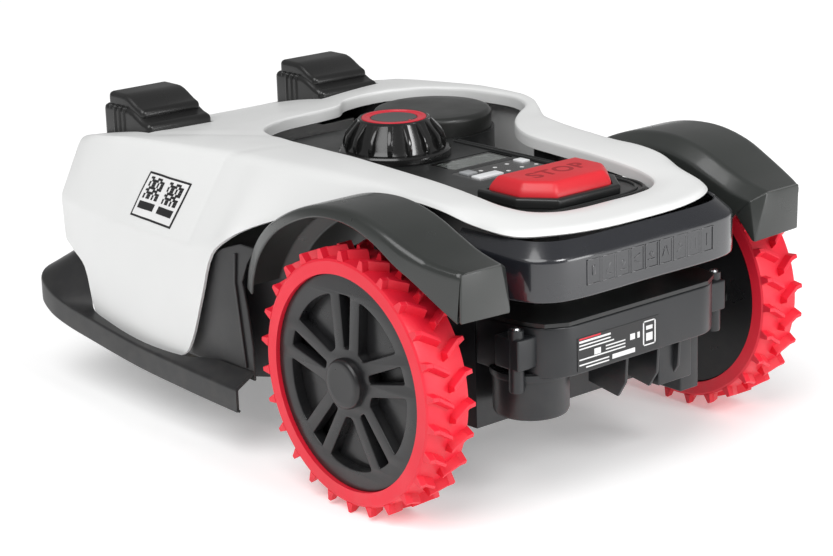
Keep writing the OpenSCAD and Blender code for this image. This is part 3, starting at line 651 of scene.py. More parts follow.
def eased(points: Line, closed: bool = False, steps: int = 4) -> list[Vector]:
    """A smooth line through points, with centripetal spacing so that close points don't make it swing.

    Args:
        points: the points it passes.
        closed: whether it ends where it starts.
        steps: stretches from one point to the next.

    Returns:
        The points of the line.
    """
    spots = [Vector(p) for p in points]
    n = len(spots)
    made = []
    for i in range(n if closed else n - 1):
        a, b = spots[i], spots[(i + 1) % n]
        before = spots[(i - 1) % n] if closed or i > 0 else a + (a - b)
        after = spots[(i + 2) % n] if closed or i + 2 < n else b + (b - a)
        t0 = 0.0
        t1 = t0 + max((a - before).length, 1e-9) ** 0.5
        t2 = t1 + max((b - a).length, 1e-9) ** 0.5
        t3 = t2 + max((after - b).length, 1e-9) ** 0.5
        for k in range(steps):
            t = t1 + (t2 - t1) * k / steps
            p = before * ((t1 - t) / (t1 - t0)) + a * ((t - t0) / (t1 - t0))
            q = a * ((t2 - t) / (t2 - t1)) + b * ((t - t1) / (t2 - t1))
            r = b * ((t3 - t) / (t3 - t2)) + after * ((t - t2) / (t3 - t2))
            u = p * ((t2 - t) / (t2 - t0)) + q * ((t - t0) / (t2 - t0))
            v = q * ((t3 - t) / (t3 - t1)) + r * ((t - t1) / (t3 - t1))
            made.append(u * ((t2 - t) / (t2 - t1)) + v * ((t - t1) / (t2 - t1)))
    if not closed:
        made.append(spots[-1])
    return made


def lofted(name: str, rows: Sequence[Line], radii: Sequence[float], wall: float, closed: bool = False,
           steps: int = 4) -> Piece:
    """A moulded shell through rows of stations, smooth along them and rounded where its profile bends.

    Args:
        name: the object's name.
        rows: the rows, in millimetres, each with a point at every station.
        radii: the rounding at each inner row, in metres.
        wall: thickness of the shell, which grows inwards.
        closed: whether the rows are rings.
        steps: stretches from one station to the next.

    Returns:
        The shell.
    """
    lines = [eased([Vector(p) * MM for p in row], closed, steps) for row in rows]
    columns = [bent([line[k] for line in lines], radii) for k in range(len(lines[0]))]
    deep, around = len(columns[0]), len(columns)
    points = [p for column in columns for p in column]
    faces = []
    for k in range(around if closed else around - 1):
        one, two = k * deep, ((k + 1) % around) * deep
        faces += [(one + i, one + i + 1, two + i + 1, two + i) for i in range(deep - 1)]
    return thickened(raw(name, points, faces), wall)


def threaded(curve: bpy.types.Curve, points: Line, closed: bool) -> None:
    """Adds a straight-sided line through points, flat ones at height 0, to a curve.

    Args:
        curve: the curve.
        points: the points, each of two or three numbers.
        closed: whether the line ends where it starts.
    """
    spline = curve.splines.new("POLY")
    spline.points.add(len(points) - 1)
    for spot, p in zip(spline.points, points):
        spot.co = (p[0], p[1], p[2] if len(p) > 2 else 0.0, 1.0)
    spline.use_cyclic_u = closed


def meshed(name: str, data: bpy.types.Curve) -> Piece:
    """Turns a curve or a text into an object with a mesh and returns it."""
    hold(placed(name, data))
    bpy.ops.object.convert(target="MESH")
    return bpy.context.object


def bead(name: str, points: Line, radius: float) -> Piece:
    """A round bead along a line, as a mesh.

    Args:
        name: the object's name.
        points: the line.
        radius: how thick the bead is, from its middle.

    Returns:
        The bead.
    """
    curve = bpy.data.curves.new(name, "CURVE")
    curve.dimensions = "3D"
    curve.bevel_depth = radius
    curve.bevel_resolution = 3
    curve.use_fill_caps = True
    threaded(curve, points, False)
    return meshed(name, curve)


def pierced(name: str, outlines: Sequence[Line], depth: float, edge: float) -> Piece:
    """A flat plate in the XY plane with holes and rounded edges, its top at z = 0.

    Args:
        name: the object's name.
        outlines: the outer line first, and then the holes.
        depth: thickness of the plate.
        edge: radius of its edges.

    Returns:
        The plate as a mesh.
    """
    curve = bpy.data.curves.new(name, "CURVE")
    curve.dimensions = "2D"
    curve.fill_mode = "BOTH"
    curve.extrude = depth / 2 - edge
    curve.bevel_depth = edge
    curve.bevel_resolution = 2
    curve.offset = -edge
    for outline in outlines:
        threaded(curve, outline, True)
    obj = meshed(name, curve)
    obj.data.transform(Matrix.Translation((0, 0, -depth / 2)))
    return mend(obj)


def fitted(obj: Piece, name: str, body: str, finish: Finish, slot: str, *replaced: str,
           angle: float = 32.0) -> Piece:
    """Finishes a piece: its name, its shading, its material, its body and the nodes it stands for.

    Args:
        obj: the piece.
        name: its name.
        body: the frame body that it rides on.
        finish: its surface.
        slot: the record's material slot; not used.
        *replaced: the frame's nodes that it stands for.
        angle: the sharpest angle that still looks smooth.

    Returns:
        The piece.
    """
    obj.name = name
    obj.data.name = name
    hold(obj)
    bpy.ops.object.shade_smooth_by_angle(angle=math.radians(angle))
    obj.data.materials.clear()
    obj.data.materials.append(finish.material())
    for polygon in obj.data.polygons:
        polygon.material_index = 0
    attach(obj, body)
    if replaced:
        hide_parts(*replaced)
    LOG.info("%s rides on %s", name, body)
    return obj


def both_sides(obj: Piece, stem: str, body: str, finish: Finish, slot: str, *replaced: str,
               own_body: bool = False, angle: float = 32.0) -> None:
    """Fits a left piece and its mirrored right twin.

    Args:
        obj: the left piece.
        stem: its name without the side.
        body: its body, or the stem of it when each side has its own.
        finish: its surface.
        slot: its material slot.
        *replaced: stems of the nodes that it stands for.
        own_body: whether each side has a body of its own.
        angle: the sharpest angle that still looks smooth.
    """
    for side, piece in ((Side.LEFT, obj), (Side.RIGHT, mirrored(obj))):
        rides = f"{body}_{side.word}" if own_body else body
        nodes = [f"{node}_{side.word}" for node in replaced]
        fitted(piece, f"{stem}_{side.word}", rides, finish, slot, *nodes, angle=angle)


# ------------------------------------------------------------------------------------------------- the studio


@dataclass
class Studio:
    """The camera, the floor and soft light."""

    place: tuple[float, float, float] = (1.47536, 1.79551, 0.81418)
    azimuth: float = 140.016
    elevation: float = 16.333
    roll: float = -1.716
    lens: float = 99.84
    shift: tuple[float, float] = (-0.0068, -0.0014)
    floor_half: float = 12.0
    floor_glow: float = 0.27
    world_light: float = 0.30
    sensor: float = 36.0
    aim: Point = (0, 0, 0.15)

    def camera(self) -> None:
        """Sets the camera behind the left rear wheel."""
        a, e, r = (math.radians(v) for v in (self.azimuth, self.elevation, self.roll))
        back = Vector((math.sin(a) * math.cos(e), -math.cos(a) * math.cos(e), math.sin(e)))
        right = (-back).cross(Vector((0, 0, 1))).normalized()
        up = right.cross(-back)
        right, up = right * math.cos(r) + up * math.sin(r), up * math.cos(r) - right * math.sin(r)
        lens = bpy.data.cameras.new("camera")
        lens.lens = self.lens
        lens.sensor_width = self.sensor
        lens.shift_x, lens.shift_y = self.shift
        camera = placed("camera", lens)
        camera.matrix_world = Matrix.Translation(self.place) @ Matrix((right, up, back)).transposed().to_4x4()
        bpy.context.scene.camera = camera

    def light(self, name: str, kind: str, place: Point, aim: Point, **settings: float) -> None:
        """Adds a light.

        Args:
            name: its name.
            kind: AREA for a soft lamp, SUN for a broad even light.
            place: where it stands.
            aim: what it looks at.
            **settings: its energy, and its size or angle.
        """
        data = bpy.data.lights.new(name, kind)
        for key, value in settings.items():
            setattr(data, key, value)
        lamp = placed(name, data)
        lamp.location = place
        lamp.rotation_euler = (Vector(aim) - Vector(place)).to_track_quat("-Z", "Y").to_euler()

    def floor(self) -> None:
        """Lays the pale floor, and lights the room round it."""
        deselect()
        bpy.ops.mesh.primitive_plane_add(size=2 * self.floor_half)
        floor = bpy.context.object
        floor.name = "floor"
        white = Finish("floor_white", (0.94, 0.94, 0.94), (0.93, 0.93, 0.93), 0.6, 0.7, 30.0, 0.0).material()
        white.node_tree.nodes["Principled BSDF"].inputs["Emission Strength"].default_value = self.floor_glow
        floor.data.materials.append(white)
        world = bpy.data.worlds.new("room")
        world.use_nodes = True
        feed(world.node_tree, world.node_tree.nodes["Background"],
             {"Color": (1, 1, 1, 1), "Strength": self.world_light})
        bpy.context.scene.world = world
        bpy.context.scene.view_settings.view_transform = "Standard"

    def build(self) -> None:
        """Sets up the whole studio, the camera first."""
        self.camera()
        self.floor()
        self.light("sky", "SUN", (0.56, 0.16, 0.81), (0, 0, 0), energy=2.15, angle=math.radians(50.0))
        self.light("rear_box", "AREA", (-0.2, 2.4, 1.9), self.aim, energy=32.0, size=0.9)
        self.light("low_box", "AREA", (-0.9, 2.2, 0.5), self.aim, energy=10.0, size=0.7)


# -------------------------------------------------------------------------------------------------- the cover


def flipped(points: Line) -> list[tuple[float, float, float]]:
    """The same points on the other side of the machine."""
    return [(-x, y, z) for x, y, z in points]


def ringed(near: Line, far: Line) -> list[Sequence[float]]:
    """A ring of stations from the middle of the nose, down the near side and back up the far side."""
    return [*near, *flipped(far[-2:0:-1])]


@dataclass
class TopCover:
    """The white cover with its deck opening, and the label on its near side."""

    wall: float = 0.003
    edge_low: Line = ((0, -350, 152), (70, -349, 152), (130, -345, 153), (180, -335, 154), (207, -320, 160),
                      (217, -290, 152), (219, -266, 138), (220, -249, 92), (221, -230, 83), (222, -104, 76),
                      (222, -78, 84), (222, -64, 102), (221, -45, 150), (220, -25, 199), (216, -4, 217),
                      (206, 14, 228), (190, 48, 242), (179, 82, 253), (166, 115, 263), (156, 142, 272),
                      (151, 172, 278), (149, 205, 280), (146, 240, 277), (138, 275, 268), (126, 317, 263),
                      (98, 339, 263), (55, 352, 263), (0, 355, 263))
    crease_wide: Line = ((0, -358, 205), (70, -356, 205), (130, -351, 206), (182, -340, 206),
                         (207, -323, 205), (215, -293, 203), (217, -268, 202), (218, -251, 201),
                         (219, -232, 200), (220, -72, 200), (220, -67, 200), (220, -62, 201), (219, -50, 204),
                         (217, -30, 210), (212, -6, 225), (203, 14, 236), (187, 48, 249), (175, 82, 260),
                         (163, 115, 268), (153, 142, 277), (148, 172, 282), (146, 205, 284), (143, 240, 281),
                         (135, 273, 273), (123, 314, 268), (96, 336, 268), (54, 349, 268), (0, 352, 268))
    crease_top: Line = ((0, -336, 258), (66, -335, 258), (120, -331, 260), (160, -325, 264), (181, -315, 268),
                        (189, -290, 274), (190, -266, 277), (189, -249, 279), (187, -230, 281),
                        (168, -68, 287), (167, -62, 287), (167, -56, 287), (166, -44, 288), (165, -27, 288),
                        (163, -4, 288), (161, 14, 288), (158, 48, 288), (155, 82, 288), (151, 115, 287),
                        (146, 142, 287), (141, 172, 286), (137, 205, 285), (133, 240, 282), (125, 270, 278),
                        (112, 304, 273), (87, 324, 271), (50, 337, 270), (0, 340, 270))
    rim: Line = ((0, -146, 288), (25, -144, 288), (46, -139, 288), (62, -132, 288), (75, -123, 288),
                 (84, -111, 288), (89, -98, 288), (92, -86, 288), (94, -70, 289), (95, -45, 289),
                 (95, -38, 289), (95, -30, 289), (95, -18, 289), (95, -4, 289), (95, 10, 289), (95, 26, 289),
                 (95, 55, 289), (95, 85, 288), (95, 117, 287), (95, 145, 286), (95, 173, 285), (95, 205, 283),
                 (95, 238, 280), (94, 266, 277), (84, 290, 274), (62, 304, 272), (35, 307, 271),
                 (0, 307, 271))
    bulge_from: int = 6
    shoulder_bulge: Line = ((190, -266, 279), (191, -249, 282), (194, -230, 285), (213, -100, 292),
                            (213, -80, 292), (213, -66, 292), (212, -48, 292), (210, -28, 292),
                            (203, -6, 291), (190, 14, 290), (168, 46, 288), (156, 82, 288))
    rim_far: Line = ((0, -146, 288), (25, -148, 288), (48, -153, 288), (66, -168, 288), (84, -171, 289),
                     (106, -170, 290), (128, -164, 291), (147, -155, 291), (162, -142, 292), (183, -108, 292),
                     (190, -86, 292), (193, -68, 292), (195, -50, 292), (194, -30, 292), (188, -10, 291),
                     (176, 6, 290), (152, 22, 289), (128, 42, 288), (108, 68, 287), (95, 100, 286),
                     (91, 145, 285), (90, 195, 283), (90, 236, 280), (89, 264, 277), (80, 290, 274),
                     (60, 304, 272), (34, 307, 271), (0, 307, 271))
    rim_drop: float = 13
    side_crown: float = 1.5
    hood_crown: float = 5
    roundings: tuple[float, ...] = (0.004, 0.060, 0.010, 0.005)
    label_corners: Line = ((-164, 255.5), (-95, 253), (-103, 209), (-176, 211))
    label_lift: float = 0.0004
    code_lefts: tuple[float, ...] = (0.10, 0.56)
    code_cells: int = 9
    code_top: float = 0.09
    code_pitch: tuple[float, float] = (0.038, 0.054)
    code_cell: tuple[float, float] = (0.036, 0.051)
    bar_span: tuple[float, float] = (0.64, 0.80)
    shell: Piece | None = field(default=None, init=False)

    def crown(self, station: int) -> float:
        """How far the top bows up between the opening and the shoulder at a station, in millimetres."""
        return self.side_crown + self.hood_crown * max(0.0, 1 - station / 7)

    def rows(self) -> list[list[Sequence[float]]]:
        """The rings of the shell, from inside the opening outwards and down."""
        last = len(self.rim) - 1
        bulge = dict(enumerate(self.shoulder_bulge, self.bulge_from))
        far = [bulge.get(k, p) for k, p in enumerate(self.crease_top)]
        rim, shoulder = ringed(self.rim, self.rim_far), ringed(self.crease_top, far)
        bow = [self.crown(j if j <= last else 2 * last - j) for j in range(len(rim))]
        return [
            [(x, y, z - self.rim_drop) for x, y, z in rim],
            rim,
            [tuple((np.array(a) + b) / 2 + (0, 0, up)) for a, b, up in zip(rim, shoulder, bow)],
            shoulder,
            ringed(self.crease_wide, self.crease_wide),
            ringed(self.edge_low, self.edge_low),
        ]

    def build(self) -> None:
        """Makes the cover, then the label on it."""
        self.shell = lofted("top_cover", self.rows(), self.roundings, self.wall, True)
        self.pod_cuts()
        fitted(self.shell, "cover_shell", "cover", WHITE_COVER, "cover_white", "top_cover", angle=24)
        self.label()

    def pod_cuts(self) -> None:
        """Cuts the two places where the sensor pods stand through the hood."""
        for side in Side:
            low, high = (Vector(v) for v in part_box(f"sensor_pod_{side.word}"))
            low, high = low + Vector((0.0008, -0.0008, -0.02)), high + Vector((-0.0008, 0.0008, 0.03))
            cut(self.shell, block("pod_cut", low, high, 0.021))

    def on_side(self, y: float, z: float, lift: float) -> Vector:
        """The point of the near side at a length and height, lifted off the surface."""
        _, spot, normal, _ = self.shell.ray_cast(Vector((0.4, y, z)), Vector((-1, 0, 0)))
        return spot + normal * lift

    def at_label(self, u: float, v: float) -> tuple[float, float]:
        """The length and height at a share of the label's width and depth, from its upper front corner.

        Args:
            u: share of the width.
            v: share of the depth.

        Returns:
            The length and the height.
        """
        a, b, c, d = (Vector(p) * MM for p in self.label_corners)
        spot = (a * (1 - u) + b * u) * (1 - v) + (d * (1 - u) + c * u) * v
        return spot.x, spot.y

    def patch(self, name: str, u0: float, v0: float, u1: float, v1: float, lift: float) -> Piece:
        """Lays a thin printed patch on the near side.

        Args:
            name: its name.
            u0: start along the label.
            v0: start down the label.
            u1: end along the label.
            v1: end down the label.
            lift: height over the cover.

        Returns:
            The patch.
        """
        across, down = max(2, round((u1 - u0) * 16)), max(2, round((v1 - v0) * 12))
        top = [self.on_side(*self.at_label(u0 + (u1 - u0) * i / across, v0 + (v1 - v0) * j / down), lift)
               for j in range(down + 1) for i in range(across + 1)]
        row = across + 1
        faces = [(j * row + i, j * row + i + 1, (j + 1) * row + i + 1, (j + 1) * row + i)
                 for j in range(down) for i in range(across)]
        obj = raw(name, top, faces)
        obj.data.flip_normals()
        return thickened(obj, self.label_lift * 0.8)

    def label(self) -> None:
        """Prints the side label: a black frame, a white field, two fields of plain squares and two bars."""
        lift = self.label_lift
        frame = self.patch("frame", 0, 0, 1, 1, lift)
        fitted(frame, "side_label_frame", "cover", PRINT_BLACK, "label_black", "side_label")
        sheet = self.patch("sheet", 0.035, 0.045, 0.965, 0.955, 1.6 * lift)
        fitted(sheet, "side_label_sheet", "cover", PRINT_WHITE, "label_white")
        marks = []
        for left in self.code_lefts:
            for i in range(self.code_cells):
                for j in range(self.code_cells):
                    if (7 * i * i + 3 * j * j + 5 * i * j) % 5 < 3:
                        u, v = left + self.code_pitch[0] * i, self.code_top + self.code_pitch[1] * j
                        marks.append(self.patch("mark", u, v, u + self.code_cell[0], v + self.code_cell[1],
                                                2.2 * lift))
            marks.append(self.patch("bar", left - 0.01, self.bar_span[0], left + 0.35, self.bar_span[1],
                                    2.2 * lift))
        fitted(joined(marks), "side_label_marks", "cover", PRINT_BLACK, "label_black")


@dataclass
class Bumper:
    """The black skirt round the nose and sides."""

    wall: float = 0.003
    low: Line = ((0, -366.5, 88), (70, -366, 89), (130, -365, 91), (180, -362, 94), (213, -355, 95),
                 (230, -340, 90), (236, -315, 80), (237, -285, 73), (237, -230, 66), (237, -142, 57),
                 (238, -66, 54), (238, -42, 53), (238, 30, 51))
    top: Line = ((0, -341, 148), (68, -340, 148), (122, -336, 149), (166, -325, 149), (193, -307, 148),
                 (206, -290, 146), (212, -270, 128), (221, -252, 96), (225.5, -217, 89), (228.5, -142, 82),
                 (226, -66, 84), (219, -42, 87), (215.5, 30, 88))
    lip: float = 24
    dock_low: tuple[float, float, float] = (-0.046, -0.390, 0.095)
    dock_high: tuple[float, float, float] = (0.046, -0.330, 0.140)

    def across(self, line: Line, rise: float) -> list[tuple[float, float, float]]:
        """A whole row from the far end round the nose to the near end."""
        near = [(x, y, z + rise) for x, y, z in line]
        return [*flipped(near[:0:-1]), *near]

    def build(self) -> None:
        """Makes the skirt with its docking window and the bead along its foot."""
        rows = [self.across(self.top, 0), self.across(self.low, self.lip), self.across(self.low, 0)]
        skirt = lofted("bumper", rows, (0.003,), self.wall, steps=5)
        cut(skirt, block("dock", self.dock_low, self.dock_high, 0.004, 0.003))
        foot = [Vector(p) * MM + Vector((0, 0.002, 0.0015)) for p in self.across(self.low, 0)]
        line = eased([Vector((p.x * 0.993, p.y, p.z)) for p in foot], steps=5)
        fitted(joined([skirt, bead("foot", line, 0.0015)]), "bumper_skirt", "cover", TRIM_BLACK, "trim_black",
               "bumper")


@dataclass
class SidePanels:
    """The black panels between the cover's rear edge and the fenders."""

    outline: Line = ((-78, 82), (30, 78), (30, 112), (24, 150), (17, 178), (27, 198), (42, 216), (16, 216),
                     (-14, 206), (-40, 190))
    rib: Line = ((18, 90), (21, 90), (9, 176), (12, 206), (9, 206), (6, 176))
    rib_proud: float = 0.0025

    def build(self) -> None:
        """Makes the left panel with its rib and mirrors it."""
        low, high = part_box("side_panel_left")
        plate, rib = ([(y * MM, z * MM) for y, z in line] for line in (self.outline, self.rib))
        plate = prism("panel", plate, low[0], high[0], 0.001, plane="YZ")
        rib = prism("rib", rib, high[0] - 0.001, high[0] + self.rib_proud, 0.0006, plane="YZ")
        both_sides(joined([plate, rib]), "side_panel_plate", "cover", TRIM_BLACK, "trim_black", "side_panel")


@dataclass
class Fenders:
    """The grey fenders over the drive wheels."""

    wall: float = 0.003
    lip: Line = ((216, 33, 170), (222, 45, 190), (231, 68, 218), (239, 102, 247), (244, 146, 270),
                 (245, 184, 281), (245, 227, 281), (245, 261, 271), (243, 288, 255), (238, 306, 243),
                 (228, 330, 222), (221, 345, 209))
    top: Line = ((215, 23, 176), (220, 34, 197), (229, 58, 227), (237, 95, 256), (242, 142, 279),
                 (243, 182, 290), (243, 228, 292), (243, 266, 284), (241, 296, 272), (236, 322, 262),
                 (228, 342, 257), (222, 352, 255))
    inner_x: float = 174
    chamfer_x: float = 160
    chamfer_drop: float = 13
    flank_drop: float = 44
    axle: tuple[float, float] = (212.5, 127)
    end_foot: float = 206
    end_wall_deep: float = 3.5
    lip_bead: float = 0.0016

    def inwards(self, p: Sequence[float], x: float, by: float) -> tuple[float, float, float]:
        """A point's twin at another width, moved towards the axle.

        Args:
            p: the point.
            x: the width of the twin.
            by: how far it moves towards the axle.

        Returns:
            The twin.
        """
        way = np.array(self.axle) - np.array(p[1:])
        y, z = np.array(p[1:]) + by * way / np.linalg.norm(way)
        return x, float(y), float(z)

    def end_wall(self) -> Piece:
        """The wall that closes the fender at its tail end."""
        top, lip = self.top[-1], self.lip[-1]
        flank = [self.inwards(top, self.chamfer_x, self.chamfer_drop),
                 self.inwards(top, self.chamfer_x, self.flank_drop * 0.8)]
        face = [(self.inner_x, top[1], top[2] - 1), (top[0] - 1, top[1], top[2] - 1),
                (lip[0], top[1] - 1, lip[2]), (self.chamfer_x + 1, top[1] - 3, self.end_foot), *flank]
        points = [Vector((x, y - back, z)) * MM for back in (0, self.end_wall_deep) for x, y, z in face]
        obj = raw("end", points, [])
        with editing(obj):
            bpy.ops.mesh.convex_hull()
        return rounded_edges(obj, 0.0015, 3, 25.0)

    def build(self) -> None:
        """Makes the left fender, its lip bead and its end wall, and mirrors them."""
        rows = [[self.inwards(p, self.chamfer_x - 1, self.flank_drop) for p in self.top],
                [self.inwards(p, self.chamfer_x, self.chamfer_drop) for p in self.top],
                [self.inwards(p, self.inner_x, 0) for p in self.top], self.top, self.lip]
        skin = lofted("fender", rows, (0.004, 0.004, 0.009), self.wall, steps=6)
        edge = eased([(Vector(p) + Vector((-1.6, 0, 0))) * MM for p in self.lip], steps=6)
        end = self.end_wall()
        fender = joined([skin, bead("lip", edge, self.lip_bead), end])
        both_sides(fender, "fender_shell", "cover", FENDER_GREY, "fender_grey", "fender", angle=28)


@dataclass
class TailBand:
    """The black band round the tail, with its row of plain pictograms."""

    wall: float = 0.003
    line: Line = ((141, 250), (140, 290), (137, 325), (130, 346), (115, 359), (92, 364.5), (0, 365.5))
    low: float = 207
    high: float = 246
    rise: float = 14
    inset: float = 12
    foot_inset: float = 10
    tail_from: float = 300
    icon_pitch: float = 0.0186
    icon_frame: tuple[float, float] = (0.017, 0.024)
    icon_line: float = 0.0011
    icon_high: float = 0.230
    strokes: tuple[Line, ...] = (
        ((0, 0, 0.0012, 0.012, 0),), ((-0.003, 0, 0.0012, 0.011, 0), (0.003, 0, 0.0012, 0.011, 0)),
        ((0, -0.002, 0.009, 0.0012, 35), (0, 0.003, 0.003, 0.003, 45)),
        ((-0.003, 0, 0.0012, 0.010, 20), (0.002, 0, 0.0012, 0.010, -20), (0, 0.002, 0.007, 0.001, 0)),
        ((0, -0.004, 0.009, 0.0012, 0), (0, 0.001, 0.004, 0.004, 45)),
        ((0, 0.003, 0.008, 0.0012, 25), (0, -0.003, 0.008, 0.0012, -25)),
        ((0, 0, 0.005, 0.005, 45), (0, -0.006, 0.008, 0.001, 0)),
        ((0, 0, 0.011, 0.0012, 55), (0, -0.006, 0.006, 0.001, 0)), ((0, 0.001, 0.004, 0.009, 0),))

    def row(self, inset: float, z: float) -> list[tuple[float, float, float]]:
        """A row from the near side round the tail to the far side."""
        near = [(x - (inset if x > 0 else 0), y - (inset if y > self.tail_from else 0), z)
                for x, y in self.line]
        return [*near, *flipped(near[-2::-1])]

    def bar(self, x: float, z: float, wide: float, high: float, turn: float = 0.0) -> Piece:
        """A raised bar on the band's rear face, turned about its own middle by degrees.

        Args:
            x: its middle across the band.
            z: its middle in height.
            wide: its width.
            high: its height.
            turn: how far it is turned.

        Returns:
            The bar.
        """
        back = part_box("tail_band")[1][1]
        piece = block("bar", (-wide / 2, back - 0.0026, -high / 2), (wide / 2, back - 0.0004, high / 2), 0,
                      0.0003, 2)
        piece.data.transform(Matrix.Translation((x, 0, z)) @ Matrix.Rotation(math.radians(turn), 4, "Y"))
        return piece

    def pictograms(self) -> list[Piece]:
        """The frames, each with a few plain strokes in it."""
        wide, high = self.icon_frame
        made = []
        for i, drawn in enumerate(self.strokes):
            x = (i - (len(self.strokes) - 1) / 2) * self.icon_pitch
            for s in (-1, 1):
                upright, level = s * (high - self.icon_line) / 2, s * (wide - self.icon_line) / 2
                made.append(self.bar(x, self.icon_high + upright, wide, self.icon_line))
                made.append(self.bar(x + level, self.icon_high, self.icon_line, high))
            for dx, dz, w, h, turn in drawn:
                made.append(self.bar(x + dx, self.icon_high + dz, w, h, turn))
        return made

    def build(self) -> None:
        """Makes the band and its pictograms."""
        rows = [self.row(self.inset, self.high + self.rise), self.row(0, self.high), self.row(0, self.low),
                self.row(self.foot_inset, self.low - 1)]
        band = lofted("tail_band", rows, (0.003, 0.0025), self.wall, steps=6)
        fitted(band, "tail_band_shell", "cover", BAND_BLACK, "trim_black", "tail_band")
        fitted(joined(self.pictograms()), "tail_pictograms", "cover", BAND_BLACK, "trim_black")


@dataclass
class SensorPods:
    """The two sensor pods on the hood, with their ribs and caps."""

    corner: float = 0.022
    shoulder: float = 0.009
    tail_drop: float = 0.012
    rib_first: float = -0.0295
    rib_pitch: float = 0.009
    rib_width: float = 0.0052
    rib_count: int = 4
    rib_proud: float = 0.0014
    cap_tail_drop: float = 0.013
    cap_tail: float = 0.010
    cap_spread: Vector = field(default_factory=lambda: Vector((0.005, 0.004, 0.012)))

    def sloped(self, obj: Piece, above: float, start: float, stop: float, drop: float) -> None:
        """Lowers the top of a piece smoothly towards the tail.

        Args:
            obj: the piece.
            above: only points over this height move.
            start: where the slope begins.
            stop: where it ends.
            drop: how far it goes down.
        """
        for vert in obj.data.vertices:
            if vert.co.z > above:
                t = min(1.0, max(0.0, (vert.co.y - start) / (stop - start)))
                vert.co.z -= drop * t * t * (3 - 2 * t)

    def sliced(self, obj: Piece, start: float, stop: float, count: int) -> Piece:
        """Cuts a piece across its length so that it can follow a slope.

        Args:
            obj: the piece.
            start: where the cuts begin.
            stop: where they end.
            count: how many slices there are.

        Returns:
            The same piece.
        """
        with editing(obj):
            for i in range(1, count):
                bpy.ops.mesh.select_all(action="SELECT")
                y = start + (stop - start) * i / count
                bpy.ops.mesh.bisect(plane_co=(0, y, 0), plane_no=(0, 1, 0))
        return obj

    def build(self) -> None:
        """Makes the left pod and mirrors it."""
        low, high = (Vector(v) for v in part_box("sensor_pod_left"))
        low.x, high.x = low.x + self.rib_proud, high.x - self.rib_proud
        body = self.sliced(block("pod", low, high, self.corner), low.y, high.y, 14)
        middle = (low.y + high.y) / 2
        self.sloped(body, high.z - 0.001, middle + 0.004, high.y - 0.004, self.tail_drop)
        rounded_edges(body, self.shoulder, 5, 40.0)
        ribs = []
        for i in range(self.rib_count):
            y = middle + self.rib_first + i * self.rib_pitch
            tuck = max(0.0, self.corner - (y - low.y))
            side = self.corner - math.sqrt(max(0.0, self.corner ** 2 - tuck ** 2))
            near, far, half = low.x + side - self.rib_proud, high.x - side + self.rib_proud, self.rib_width / 2
            ribs.append(block("rib", (near, y - half, low.z + 0.004), (far, y + half, high.z + 0.0006), 0.001,
                              0.0042))
        both_sides(joined([body, *ribs]), "pod_housing", "cover", POD_BLACK, "trim_black", "sensor_pod")
        low, high = (Vector(v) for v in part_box("pod_cap_left"))
        low, far = low - self.cap_spread, high + Vector((self.cap_spread.x, self.cap_tail, 0))
        cap = self.sliced(block("cap", low, far, 0.012), low.y, far.y, 12)
        self.sloped(cap, high.z - 0.001, low.y + 0.030, far.y, self.cap_tail_drop)
        rounded_edges(cap, 0.0055, 4, 40.0)
        line = block("line", (low.x + 0.010, low.y + 0.012, high.z - 0.0012),
                     (far.x - 0.010, low.y + 0.0148, high.z - 0.0002), 0.001, 0.0004)
        both_sides(joined([cap, line]), "pod_cap_cover", "cover", POD_BLACK, "trim_black", "pod_cap")


# ------------------------------------------------------------------------------------------------- the wheels


def sector(low: float, high: float, half_low: float, half_high: float, turn: float,
           corner: float = 0.003) -> Line:
    """The outline of a pocket between two spokes.

    Args:
        low: radius of its inner end.
        high: radius of its outer end.
        half_low: half its angle at the inner end, in degrees.
        half_high: half its angle at the outer end, in degrees.
        turn: where its middle lies, in degrees.
        corner: radius of its corners.

    Returns:
        The outline's points, anticlockwise.
    """
    def polar(r: float, a: float) -> Vector:
        """A point of the plane from radius and degrees."""
        return Vector((r * math.cos(math.radians(a)), r * math.sin(math.radians(a)), 0))

    arc = [polar(high, turn - half_high + 2 * half_high * i / 8) for i in range(9)]
    ends = [polar(low, turn + half_low), polar(low, turn - half_low)]
    loop = [arc[4], *arc[5:], *ends, *arc[:5]]
    radii = [0.0005 if i < 3 or i > 6 else corner for i in range(len(loop) - 2)]
    return [(p.x, p.y) for p in bent(loop, radii, 3)][:-1]


